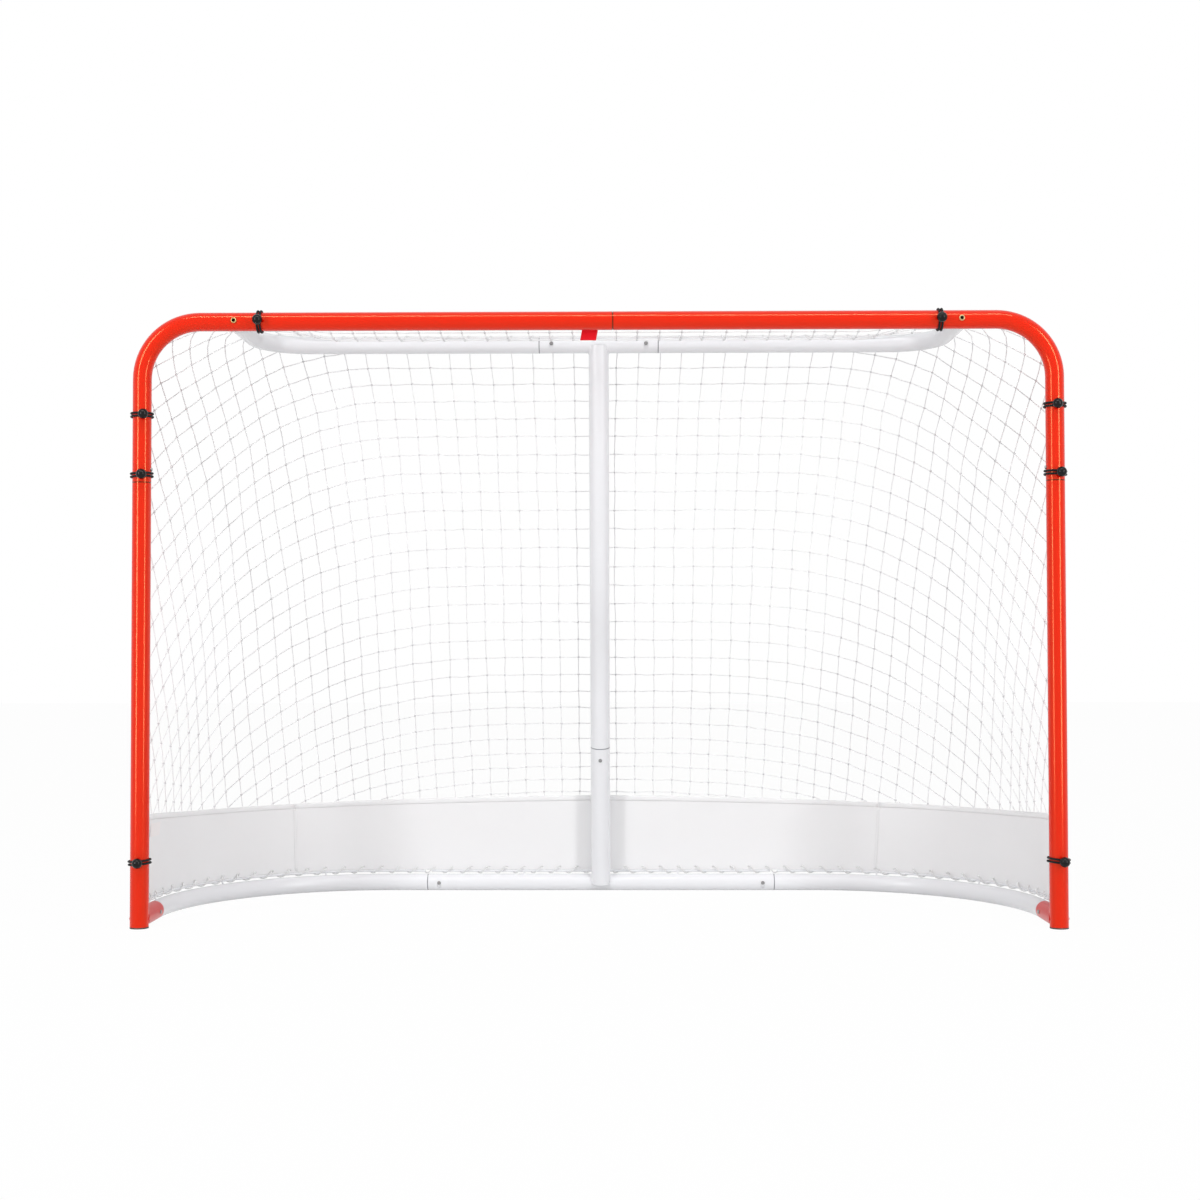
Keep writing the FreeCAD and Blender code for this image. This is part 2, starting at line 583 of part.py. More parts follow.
def make_back_net():
    """The flat back net, one face with holes."""
    heights = net_heights(NET_TOP)
    outline = [back_point(z, side * cloth_corner(z)[0])
               for z, side in ((SKIRT_TOP, -1), (SKIRT_TOP, 1), (NET_TOP, 1), (NET_TOP, -1))]
    wires = [Part.makePolygon(outline + outline[:1])]
    for low, high in zip(heights, heights[1:]):
        bottom = low + (NET_TWINE if low == heights[0] else NET_TWINE / 2)
        top = high - (NET_TWINE if high == heights[-1] else NET_TWINE / 2)
        for k in range(BACK_NET_COLUMNS):
            hole = []
            for z, order in ((bottom, (0, 1)), (top, (1, 0))):
                half = cloth_corner(z)[0]
                for end in order:
                    x = half * (2 * (k + end) / BACK_NET_COLUMNS - 1)
                    outer = (k + end) in (0, BACK_NET_COLUMNS)
                    x += (NET_TWINE if outer else NET_TWINE / 2) * (1 if end == 0 else -1)
                    hole.append(back_point(z, x))
            wires.append(Part.makePolygon(hole + hole[:1]))
    face = Part.makeFace(wires, "Part::FaceMakerBullseye")
    save("back_net", face.extrude(V(0, NET_TWINE, 0)))


def top_outline(inset):
    """The outline of the top net, seen from above."""
    x, y, radius = cloth_corner(NET_TOP)
    radius = radius - inset
    front = EDGE_Y + inset
    cos45 = math.cos(math.pi / 4)
    points = {}
    for side in (-1, 1):
        points[side] = (V(side * (x + radius), front, NET_TOP), V(side * (x + radius), y, NET_TOP),
                        V(side * (x + radius * cos45), y + radius * cos45, NET_TOP),
                        V(side * x, y + radius, NET_TOP))
    left, right = points[-1], points[1]
    return Part.Face(Part.Wire([line(left[0], right[0]), line(right[0], right[1]),
                                arc(right[1], right[2], right[3]), line(right[3], left[3]),
                                arc(left[3], left[2], left[1]), line(left[1], left[0])]))


def sagging_section(x, sag):
    """A section of the sagging sheet at a place along X. It rises to the shelf tube and lies over it."""
    rest = SHELF_DEPTH - TOP_NET_REST
    back = SHELF_DEPTH + 2 * TUBE_R
    middle = (EDGE_Y + rest) / 2
    front = EDGE_Y - (middle - EDGE_Y) * 0.02
    low = []
    high = []
    for z, points in ((NET_TOP, low), (NET_TOP + NET_TWINE, high)):
        points += [V(x, front, z), V(x, middle, z - sag), V(x, rest, z), V(x, back, z)]
    return Part.Wire([arc(low[0], low[1], low[2]), line(low[2], low[3]), line(low[3], high[3]),
                      line(high[3], high[2]), arc(high[2], high[1], high[0]), line(high[0], low[0])])


def make_top_net():
    """The top net between the crossbar and the shelf, one sheet with holes that sags in its middle."""
    x, y, radius = cloth_corner(NET_TOP)
    step_x = 2 * (x + radius) / TOP_NET_COLUMNS
    step_y = (y + radius - EDGE_Y) / TOP_NET_ROWS
    low = NET_TOP - 2 * TOP_NET_SAG
    holes = []
    for k in range(TOP_NET_COLUMNS):
        for j in range(TOP_NET_ROWS):
            corner = V(-x - radius + k * step_x + NET_TWINE / 2, EDGE_Y + j * step_y + NET_TWINE / 2, NET_TOP)
            holes.append(Part.makePlane(step_x - NET_TWINE, step_y - NET_TWINE, corner))
    inner = top_outline(NET_TWINE).common(Part.makeCompound(holes))
    lattice = top_outline(0).cut(inner)
    lattice.translate(V(0, 0, low - NET_TOP))
    prism = lattice.extrude(V(0, 0, 3 * TOP_NET_SAG))
    flat_end = SHELF_ARM_X - TOP_NET_FLAT
    full = flat_end - TOP_NET_SLOPE
    end = x + radius + NET_TWINE
    places = [(-end, 0.01), (-flat_end, 0.01), (-full, TOP_NET_SAG), (full, TOP_NET_SAG), (flat_end, 0.01),
              (end, 0.01)]
    sheet = Part.makeLoft([sagging_section(*place) for place in places], True, True)
    save("top_net", prism.common(sheet))


def skirt_side_section(z, seam, half):
    """The outline at a height of a side panel of the skirt, from the post to its seam."""
    turn = side_angle(z)
    return Part.Wire([line(on_edge(z, half), on_corner(z, turn, half)), corner_arc(z, turn, seam, half),
                      line(on_corner(z, seam, half), on_corner(z, seam, -half)),
                      corner_arc(z, seam, turn, -half), line(on_corner(z, turn, -half), on_edge(z, -half)),
                      line(on_edge(z, -half), on_edge(z, half))])


def flipped(point):
    """A point on the other side of the goal."""
    return V(-point.x, point.y, point.z)


def skirt_back_section(z, half):
    """The outline at a height of the skirt's centre panel, from seam to seam."""
    edges = []
    for offset in (half, -half):
        right = corner_arc(z, SEAM_R, 0, offset)
        left = [flipped(on_corner(z, SEAM_L * k / 2, offset)) for k in range(3)]
        back = line(on_corner(z, 0, offset), left[0])
        edges.append([right, back, arc(*left)])
    outer, inner = edges
    ends = [flipped(on_corner(z, SEAM_L, offset)) for offset in (half, -half)]
    starts = [on_corner(z, SEAM_R, offset) for offset in (-half, half)]
    return Part.Wire(outer + [line(*ends)] + inner[::-1] + [line(*starts)])


def skirt_panel(section):
    """A panel of the skirt, from its bottom edge to its top one."""
    heights = [SKIRT_BOTTOM + SKIRT_HEIGHT * k / 4 for k in range(5)]
    return Part.makeLoft([section(z) for z in heights], True, True)


def make_skirt():
    """The skirt's three vinyl panels, which meet at two seams."""
    half = SKIRT_THICKNESS / 2
    holes = Part.makeCompound(eyelets())
    centre = skirt_panel(lambda z: skirt_back_section(z, half))
    right = skirt_panel(lambda z: skirt_side_section(z, SEAM_R, half))
    left = mirrored(skirt_panel(lambda z: skirt_side_section(z, SEAM_L, half)))
    for name, panel in (("centre", centre), ("right", right), ("left", left)):
        save("skirt_" + name + "_panel", panel.cut(holes))


CORNER_LENGTH = BASE_BEND * math.pi / 2


class Lace:
    """A stretch of the cord that winds round the lacing rod and through the skirt's eyelets."""

    def __init__(self, name, start, length, turns, phase):
        self.name = name
        self.start = start
        self.length = length
        self.turns = turns
        self.phase = phase

    def end_phase(self):
        return self.phase + 2 * math.pi * self.turns

    def frame(self, s):
        """The base tube's centre, direction and outward direction, a distance along the stretch."""
        if self.name.endswith("back"):
            return V(self.start + s, BASE_DEPTH, BASE_Z), V(1, 0, 0), V(0, 1, 0)
        if s > CORNER_LENGTH:
            return V(POST_X, BASE_DEPTH - BASE_BEND - (s - CORNER_LENGTH), BASE_Z), FRONTWARDS, RIGHT
        angle = s / BASE_BEND
        out = V(math.sin(angle), math.cos(angle), 0)
        along = V(math.cos(angle), -math.sin(angle), 0)
        return V(POST_X - BASE_BEND, BASE_DEPTH - BASE_BEND, BASE_Z) + out * BASE_BEND, along, out

    def place(self, turn, psi):
        """The point of the cord's centre after some turns, at an angle round the lacing."""
        centre, along, out = self.frame(self.length * turn / self.turns)
        return (centre + out * (LACE_OUT + LACE_RADIUS * math.cos(psi))
                + UP * (LACE_UP + LACE_RADIUS * math.sin(psi)))

    def point(self, turn):
        """The cord's centre after some turns, and its direction."""
        s = self.length * turn / self.turns
        centre, along, out = self.frame(s)
        psi = self.phase + 2 * math.pi * turn
        growth = 1.0
        if not self.name.endswith("back") and s <= CORNER_LENGTH:
            growth = 1 + (LACE_OUT + LACE_RADIUS * math.cos(psi)) / BASE_BEND
        rate = (along * (self.length / self.turns * growth)
                + (UP * math.cos(psi) - out * math.sin(psi)) * (2 * math.pi * LACE_RADIUS))
        return self.place(turn, psi), rate.normalize()

    def turns_at(self, psi):
        """The turns at which the cord is at an angle round the lacing."""
        first = math.ceil((self.phase - psi) / (2 * math.pi))
        found = [(psi + 2 * math.pi * k - self.phase) / (2 * math.pi) for k in range(first, first + self.turns + 1)]
        return [turn for turn in found if 0 <= turn <= self.turns]

    def crossings(self):
        """Where the cord goes through the skirt: a point and the outward direction there."""
        found = []
        for turn in self.turns_at(math.pi / 2):
            centre, along, out = self.frame(self.length * turn / self.turns)
            low, high = math.pi / 3, math.pi * 5 / 6
            for k in range(30):
                psi = (low + high) / 2
                shift = (psi - math.pi / 2) / (2 * math.pi)
                place = self.place(turn, psi)
                start = place - out * (place - centre).dot(out)
                if (place - start).dot(out) > cloth_reach(start, out):
                    low = psi
                else:
                    high = psi
            found.append((self.place(turn + shift, psi), out))
        return found

    def solid(self):
        """The cord, a round bar on pairs of arcs of a quarter turn."""
        path = []
        steps = round(4 * self.turns)
        for k in range(steps):
            path += biarc(*self.point(self.turns * k / steps), *self.point(self.turns * (k + 1) / steps))
        cord = round_bar(path, LACE_DIAMETER / 2)
        print(self.name, "volume share", round(cord.Volume / (math.pi * LACE_DIAMETER ** 2 / 4
              * sum(e.Length for e in path)), 4), "least gap", round(self.length / self.turns - LACE_DIAMETER, 1))
        return cord


def tangent_arc(a, tangent, b):
    """The arc from a to b that starts along a direction."""
    chord = b - a
    along = V(chord).normalize()
    bulge = tangent - along * tangent.dot(along)
    if bulge.Length < 1e-9:
        return line(a, b)
    angle = math.acos(max(-1.0, min(1.0, tangent.dot(along))))
    rise = V(bulge).normalize() * (chord.Length / 2 * math.tan(angle / 2))
    return arc(a, a + chord * 0.5 + rise, b)


def biarc(a, start, b, end):
    """Two arcs from a to b that leave a along start and reach b along end."""
    chord = b - a
    both = start + end
    lead = 2 * (1 - start.dot(end))
    reach = chord.dot(both)
    d = (-reach + math.sqrt(reach ** 2 + lead * chord.dot(chord))) / lead
    join = (a + b) * 0.5 + (start - end) * (d / 2)
    second = tangent_arc(b, end * -1, join)
    first = tangent_arc(a, start, join)
    return [first, arc(join, second.valueAt((second.FirstParameter + second.LastParameter) / 2), b)]


def right_laces():
    """The two stretches of lacing on the right half, from the upright to the post."""
    start = UPRIGHT_OD / 2 + LACE_DIAMETER / 2 + LACE_END_CLEARANCE
    length = POST_X - BASE_BEND - start
    turns = round(length / LACE_PITCH)
    button_x = BASE_JOINT_X - BUTTON_SETBACK
    phase = -2 * math.pi * turns * (button_x - start) / length
    back = Lace("base_lacing_right_back", start, length, turns, phase)
    corner_length = CORNER_LENGTH + BASE_DEPTH - BASE_BEND - ROD_FRONT_Y - LACE_END_CLEARANCE
    corner_turns = round(corner_length / LACE_PITCH)
    corner = Lace("base_lacing_right_corner", 0, corner_length, corner_turns, back.end_phase())
    return [back, corner]


def eyelets():
    """The holes in the skirt that the lacing goes through, as bars to cut away."""
    bars = []
    for lace in right_laces():
        for place, out in lace.crossings():
            bar = Part.makeCylinder(EYELET_DIAMETER / 2, TUBE_OD, place - out * (TUBE_OD / 2), out)
            bars += [bar, mirrored(bar)]
    return bars


def rod_studs(lace, low, high):
    """The short studs between a stretch's rod and the tube, under turns of the cord that are above the rod."""
    studs = []
    for turn in lace.turns_at(math.pi / 2)[ROD_STUD_TURNS // 2::ROD_STUD_TURNS]:
        s = lace.length * turn / lace.turns
        if low < lace.start + s < high:
            centre, along, out = lace.frame(s)
            away = (out * ROD_OUT + UP * ROD_UP).normalize()
            studs.append(Part.makeCylinder(ROD_STUD_DIAMETER / 2, ROD_LIFT - TUBE_R - WELD_GAP,
                                           centre + away * (TUBE_R + WELD_GAP), away))
    return studs


def make_lacing_rods():
    """The rods that the skirt is laced to, on studs along the top of each base tube."""
    radius = ROD_DIAMETER / 2
    back, corner = right_laces()
    reach = BASE_JOINT_X - ROD_END_GAP
    y = BASE_DEPTH + ROD_OUT
    rod = Part.makeCylinder(radius, 2 * reach, V(-reach, y, ROD_Z), RIGHT)
    for stud in rod_studs(back, 0, reach):
        rod = rod.fuse(stud).fuse(mirrored(stud))
    save("centre_lacing_rod", rod)
    bend = BASE_BEND + ROD_OUT
    cos45 = math.cos(math.pi / 4)
    centre = V(POST_X - BASE_BEND, BASE_DEPTH - BASE_BEND, ROD_Z)
    start = centre + BACKWARDS * bend
    end = centre + RIGHT * bend
    path = [line(V(BASE_JOINT_X + ROD_END_GAP, y, ROD_Z), start),
            arc(start, centre + V(bend * cos45, bend * cos45, 0), end),
            line(end, V(end.x, ROD_FRONT_Y, ROD_Z))]
    rod = round_bar(path, radius)
    for stud in rod_studs(corner, 0, CORNER_LENGTH):
        rod = rod.fuse(stud)
    save("right_lacing_rod", rod)
    save("left_lacing_rod", mirrored(rod))


def make_lacing():
    """The cord that laces the skirt to the rods, in four stretches."""
    for lace in right_laces():
        solid = lace.solid()
        save(lace.name, solid)
        save(lace.name.replace("right", "left"), mirrored(solid))


def tie_path():
    """The doubled cord of a ball tie: round its tube, a tight turn, and back, about the Z axis."""
    radius = TIE_RADIUS
    half = TIE_SPREAD / 2
    first = math.radians(-90 + TIE_START_ANGLE)
    last = math.radians(270 - TIE_END_ANGLE)

    def at(angle, z):
        return V(radius * math.cos(angle), radius * math.sin(angle), z)

    middle = (first + last) / 2
    end = at(last, 0)
    ahead = V(-math.sin(last), math.cos(last), 0)
    return [arc(at(first, half), at(middle, half), at(last, half)),
            arc(at(last, half), end + ahead * half, at(last, -half)),
            arc(at(last, -half), at(middle, -half), at(first, -half))]


def make_ties():
    """The ball ties: a ball on the front of the tube and the doubled elastic cord that it holds."""
    cord = round_bar(tie_path(), TIE_CORD / 2)
    ball = Part.makeSphere(BALL_DIAMETER / 2, V(0, -TUBE_R - TIE_GAP - BALL_DIAMETER / 2, 0))
    ball = ball.cut(round_bar(tie_path(), TIE_CORD / 2 + TIE_CHANNEL))
    ball = max(ball.Solids, key=lambda solid: solid.Volume)
    places = {}
    for side, name in ((-1, "left"), (1, "right")):
        middle = POST_JOINT_Z + BUTTON_SETBACK - TIE_BELOW_BUTTON
        top = max(POST_STRAIGHT_Z - TIE_BELOW_BEND[name], middle + BALL_DIAMETER + TIE_BALL_GAP)
        for level, height in (("top", top), ("middle", middle), ("low", TIE_LOW_HEIGHTS[name])):
            turn = FreeCAD.Rotation(V(0, 1, 0), side * TIE_TILTS[level])
            turn = turn.multiply(FreeCAD.Rotation(V(0, 0, 1), TIE_TURNS[name][level]))
            places[name + "_post_" + level] = FreeCAD.Placement(V(side * POST_X, 0, height), turn)
        turn = FreeCAD.Rotation(V(0, 1, 0), 90)
        places[name + "_crossbar"] = FreeCAD.Placement(V(side * CROSSBAR_TIE_X[name], 0, CROSSBAR_Z), turn)
    for name, place in places.items():
        save(name + "_tie_ball", ball.transformed(place.toMatrix()))
        save(name + "_tie_cord", cord.transformed(place.toMatrix()))


def make_tag_and_label():
    """The plain red tab sewn to the top net's front edge, and the bare label on the left skirt panel."""
    y = EDGE_Y - CLOTH_GAP - TAG_THICKNESS
    low = NET_TOP + NET_TWINE - TAG_LENGTH
    high = NET_TOP + NET_TWINE
    left = TAG_X - TAG_WIDTH / 2
    outline = [V(left, y, high), V(left + TAG_WIDTH, y, high), V(left + TAG_WIDTH + TAG_SLANT, y, low),
               V(left + TAG_SLANT, y, low)]
    save("red_tag", Part.Face(Part.makePolygon(outline + outline[:1])).extrude(V(0, TAG_THICKNESS, 0)))
    top = SKIRT_TOP - LABEL_TOP_BELOW_HEM
    inner = -SKIRT_THICKNESS / 2 - LABEL_GAP
    sections = []
    for z in (top - LABEL_HEIGHT, top):
        corners = []
        for offset in (inner, inner - LABEL_THICKNESS):
            edge = on_edge(z, offset)
            along = (on_corner(z, side_angle(z), offset) - edge).normalize()
            corners.append((edge + along * LABEL_FROM_EDGE, edge + along * (LABEL_FROM_EDGE + LABEL_WIDTH)))
        outer, hidden = corners
        sections.append(Part.makePolygon([outer[0], outer[1], hidden[1], hidden[0], outer[0]]))
    save("blank_label", mirrored(Part.makeLoft(sections, True, True)))


print("origin", round(ORIGIN_Y, 4), "base height", round(BASE_Z, 4))
os.makedirs("parts", exist_ok=True)
make_front_frame()
make_sockets()
make_base()
make_upright()
make_shelf()
make_shelf_fasteners()
make_buttons()
make_back_net()
make_side_nets()
make_top_net()
make_skirt()
make_lacing_rods()
make_lacing()
make_ties()
make_tag_and_label()
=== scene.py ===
# %% [markdown]
# # A hockey goal net
#
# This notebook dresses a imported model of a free-standing steel hockey goal: a red front frame, a
# white rear frame, a knotted net, a vinyl skirt laced along the base, and black ball ties.
# The tubes, bolts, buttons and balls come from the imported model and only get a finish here. The
# soft pieces, which a rigid solid can't show well, are built here and stand in for their nodes.

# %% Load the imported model
import json
import math
import random

import bmesh
import bpy
import numpy as np
from mathutils import Matrix, Vector


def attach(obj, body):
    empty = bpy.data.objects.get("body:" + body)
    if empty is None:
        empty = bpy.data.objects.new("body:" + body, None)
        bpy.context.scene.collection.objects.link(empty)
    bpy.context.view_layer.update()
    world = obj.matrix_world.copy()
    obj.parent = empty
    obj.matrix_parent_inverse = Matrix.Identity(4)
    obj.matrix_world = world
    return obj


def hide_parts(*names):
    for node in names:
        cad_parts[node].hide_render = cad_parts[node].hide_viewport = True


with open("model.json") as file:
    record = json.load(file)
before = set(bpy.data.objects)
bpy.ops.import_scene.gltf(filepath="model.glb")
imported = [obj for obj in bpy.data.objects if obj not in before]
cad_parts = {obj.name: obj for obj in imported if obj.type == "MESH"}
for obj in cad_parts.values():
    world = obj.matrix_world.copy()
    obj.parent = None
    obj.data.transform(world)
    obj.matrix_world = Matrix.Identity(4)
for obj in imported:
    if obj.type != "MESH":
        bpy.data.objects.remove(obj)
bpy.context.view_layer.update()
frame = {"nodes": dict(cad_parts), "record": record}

# %% [markdown]
# ## Sizes
#
# The model's sizes are kept in millimetres, as on a drawing, with Y measured from the posts.
# `place` turns such a point into the model's own frame, which is in metres and has its origin
# in the middle of the goal's footprint.

# %% Sizes of the goal
ORIGIN_Y = 275.3
TUBE_R = 19.05
UPRIGHT_R = 22.225
POST_X = 933.45
CROSSBAR_Z = 1238.25
POST_STRAIGHT_Z = 1120.25
FRONT_BEND = 118.0
BASE_DEPTH = 572.0
BASE_BEND = 445.0
BASE_Z = 19.05
BASE_JOINT_X = 406.0
SHELF_DEPTH = 285.0
SHELF_BEND = 108.0
SHELF_ARM_X = 742.0
SHELF_JOINT_X = 131.0
FOOT_FORWARD = 10.0
FOOT_Y = BASE_DEPTH - FOOT_FORWARD
LEAN = math.atan2(BASE_DEPTH - SHELF_DEPTH, CROSSBAR_Z - BASE_Z)

# The lacing rod runs just over the base tube, a little behind its top.
ROD_AWAY = 27.0
ROD_ANGLE = math.radians(22)
ROD_OUT = ROD_AWAY * math.sin(ROD_ANGLE)
ROD_UP = ROD_AWAY * math.cos(ROD_ANGLE)
ROD_Z = BASE_Z + ROD_UP

# Net and cord lie a small gap off a tube. The net's front edge also clears the ties' cords.
SOFT_GAP = 0.4
EDGE_GAP = 6.55
TWINE_R = 1.0
NET_OFFSET = (TUBE_R + SOFT_GAP + TWINE_R) / math.cos(LEAN)
NET_TOP = CROSSBAR_Z + TUBE_R + SOFT_GAP
EDGE_Y = TUBE_R + EDGE_GAP

SKIRT_BOTTOM = ROD_Z + 3.0
SKIRT_HEIGHT = 178.5
SKIRT_TOP = SKIRT_BOTTOM + SKIRT_HEIGHT
SEAM_LEFT = math.radians(29.0)
SEAM_RIGHT = math.radians(19.6)


def place(x, y, z):
    """A drawn point, in millimetres, as a point of the model's frame."""
    return Vector((x / 1000, (y - ORIGIN_Y) / 1000, z / 1000))


def new_object(name, data):
    """An object in the scene that shows some data."""
    made = bpy.data.objects.new(name, data)
    bpy.context.scene.collection.objects.link(made)
    return made


# %% [markdown]
# ## The camera
#
# The camera stands a little to the right of the goal's middle, less than half as high as the
# goal, and looks up by about a degree and a half. It was fitted to the outlines of the tubes.

# %% Camera
FOCAL_PIXELS = 1775.66
PHOTO_PIXELS = 1200
SENSOR_WIDTH = 36.0
CAMERA_PLACE = place(43.4, -3619.6, 565.4)
PITCH, YAW, ROLL = 0.0278, -0.0106, -0.0015

camera_data = bpy.data.cameras.new("photo_camera")
camera_data.sensor_width = SENSOR_WIDTH
camera_data.lens = FOCAL_PIXELS / PHOTO_PIXELS * SENSOR_WIDTH
camera = new_object("photo_camera", camera_data)
turned = Matrix.Rotation(ROLL, 3, "Y") @ Matrix.Rotation(-PITCH, 3, "X") @ Matrix.Rotation(YAW, 3, "Z")
facing = turned.transposed() @ Matrix.Rotation(math.pi / 2, 3, "X")
camera.matrix_world = Matrix.Translation(CAMERA_PLACE) @ facing.to_4x4()
bpy.context.scene.camera = camera
print("lens", round(camera_data.lens, 2), "mm")

# %% [markdown]
# ## Helpers for node trees
#
# Shader and geometry trees are both built from a few lines each: one helper adds a node and
# fills its sockets, and another opens a new group with named inputs and outputs.

# %% Node tree helpers
VALUE, VECTOR, COLOR = "NodeSocketFloat", "NodeSocketVector", "NodeSocketColor"
GEOMETRY, MATERIAL = "NodeSocketGeometry", "NodeSocketMaterial"
TYPE_BY_SIZE = {1: VALUE, 3: VECTOR, 4: COLOR}


def fill(tree, socket, value):
    """Links a socket to another, or sets its value."""
    if isinstance(value, bpy.types.NodeSocket):
        tree.links.new(value, socket)
    else:
        socket.default_value = value


def add_node(tree, kind, *in_order, settings=None, **by_name):
    """Adds a node and fills its sockets in order, or by name with _ for a space."""
    node = tree.nodes.new(kind)
    for key, value in (settings or {}).items():
        setattr(node, key, value)
    for socket, value in zip(node.inputs, in_order):
        fill(tree, socket, value)
    for key, value in by_name.items():
        fill(tree, node.inputs[key.replace("_", " ")], value)
    return node


def new_group(name, kind, inputs, outputs):
    """A group, the sockets of what it is given, and its end. An input has a default or a type."""
    tree = bpy.data.node_groups.new(name, kind)
    for label, given in inputs.items():
        socket_type = given if isinstance(given, str) else TYPE_BY_SIZE[np.size(given)]
        socket = tree.interface.new_socket(name=label, in_out="INPUT", socket_type=socket_type)
        if given is not socket_type:
            socket.default_value = given
    for label, socket_type in outputs.items():
        tree.interface.new_socket(name=label, in_out="OUTPUT", socket_type=socket_type)
    return tree, tree.nodes.new("NodeGroupInput").outputs, tree.nodes.new("NodeGroupOutput")


def end_group(tree, end, **results):
    """Links the results to the group's outputs by name, and gives the group."""
    for label, result in results.items():
        tree.links.new(result, end.inputs[label])
    return tree


def mix_colors(tree, factor, a, b):
    """The result of mixing two colours."""
    node = add_node(tree, "ShaderNodeMix", factor, settings={"data_type": "RGBA"})
    fill(tree, node.inputs[6], a)
    fill(tree, node.inputs[7], b)
    return node.outputs[2]


def calculate(tree, operation, *values):
    """One step of arithmetic on values."""
    return add_node(tree, "ShaderNodeMath", *values, settings={"operation": operation}).outputs[0]


# %% [markdown]
# ## Finishes shared by several materials
#
# Powder coat looks smooth from afar and has a faint orange-peel skin from near. Dust and fine
# scuffs break up its gloss. Where two tubes plug together, a thin band of painted shade goes round
# them, for the shade in the joint's gap.
# Cords show the twist or braid of their strands, which follows the cord, so that pattern reads an
# attribute that the cord carries along its length, with painted shade in the grooves between the
# strands. The vinyl shows the print of a woven base.

# %% Shader groups
GREY = (0.8, 0.8, 0.8, 1.0)
SHADER = "ShaderNodeTree"
COLOR_AND_HEIGHT = {"Color": COLOR, "Height": VALUE}


def build_coat_group():
    """Orange peel, dust and scuffs for painted, plated and moulded surfaces."""
    tree, given, end = new_group("coated_surface", SHADER, {
        "Color": GREY, "Dust Color": (0.7, 0.68, 0.65, 1.0), "Dust": 0.1, "Peel Scale": 900.0,
        "Roughness": 0.2, "Roughness Spread": 0.1}, {**COLOR_AND_HEIGHT, "Roughness": VALUE})
    where = add_node(tree, "ShaderNodeTexCoord").outputs["Object"]
    peel = add_node(tree, "ShaderNodeTexNoise", Vector=where, Scale=given["Peel Scale"], Detail=2.0)
    cloud = add_node(tree, "ShaderNodeTexNoise", Vector=where, Scale=7.0, Detail=6.0, Roughness=0.65)
    scuff = add_node(tree, "ShaderNodeTexNoise", Vector=where, Scale=60.0, Detail=4.0, Roughness=0.7)
    patches = add_node(tree, "ShaderNodeMapRange", Value=cloud.outputs[0], From_Min=0.45, From_Max=0.75)
    marks = add_node(tree, "ShaderNodeMapRange", Value=scuff.outputs[0], From_Min=0.55, From_Max=0.8)
    dusty = calculate(tree, "MULTIPLY", patches.outputs[0], given["Dust"])
    spread = calculate(tree, "MULTIPLY", marks.outputs[0], given["Roughness Spread"])
    return end_group(tree, end, Color=mix_colors(tree, dusty, given["Color"], given["Dust Color"]),
                     Roughness=calculate(tree, "ADD", given["Roughness"], spread), Height=peel.outputs[0])


def build_strand_group():
    """Strands of a cord from the attribute cord_uv (x round it, y along it), with painted shade in
    grooves.
    """
    tree, given, end = new_group("cord_strands", SHADER, {
        "Color": GREY, "Groove Color": (0.4, 0.4, 0.4, 1.0), "Strands": 3.0, "Pitch": 0.004,
        "Braid": 1.0}, COLOR_AND_HEIGHT)
    where = add_node(tree, "ShaderNodeAttribute", settings={"attribute_name": "cord_uv"})
    parts = add_node(tree, "ShaderNodeSeparateXYZ", where.outputs["Vector"])
    round_cord = calculate(tree, "MULTIPLY", parts.outputs[0], given["Strands"])
    along = calculate(tree, "DIVIDE", parts.outputs[1], given["Pitch"])
    waves = []
    for operation in ("ADD", "SUBTRACT"):
        angle = calculate(tree, "MULTIPLY", calculate(tree, operation, along, round_cord), 2 * math.pi)
        waves.append(calculate(tree, "ABSOLUTE", calculate(tree, "SINE", angle)))
    crossing = calculate(tree, "MULTIPLY", waves[1], given["Braid"])
    height = calculate(tree, "MAXIMUM", waves[0], crossing)
    color = mix_colors(tree, height, given["Groove Color"], given["Color"])
    return end_group(tree, end, Color=color, Height=height)


def build_weave_group():
    """The print of a plain weave, over a piece's own flat coordinates in metres."""
    tree, given, end = new_group("plain_weave", SHADER, {
        "Color": GREY, "Shade Color": (0.6, 0.6, 0.6, 1.0), "Thread": 0.001, "Contrast": 0.3},
        COLOR_AND_HEIGHT)
    where = add_node(tree, "ShaderNodeUVMap", settings={"uv_map": "flat"}).outputs[0]
    parts = add_node(tree, "ShaderNodeSeparateXYZ", where)
    waves = []
    for axis in (0, 1):
        steps = calculate(tree, "DIVIDE", parts.outputs[axis], given["Thread"])
        waves.append(calculate(tree, "SINE", calculate(tree, "MULTIPLY", steps, math.pi)))
    height = calculate(tree, "MULTIPLY_ADD", calculate(tree, "MULTIPLY", *waves), 0.5, 0.5)
    cloud = add_node(tree, "ShaderNodeTexNoise", Vector=where, Scale=9.0, Detail=5.0, Roughness=0.6)
    depth = calculate(tree, "MULTIPLY", height, cloud.outputs[0])
    depth = calculate(tree, "MULTIPLY", depth, given["Contrast"])
    color = mix_colors(tree, depth, given["Color"], given["Shade Color"])
    return end_group(tree, end, Color=color, Height=height)


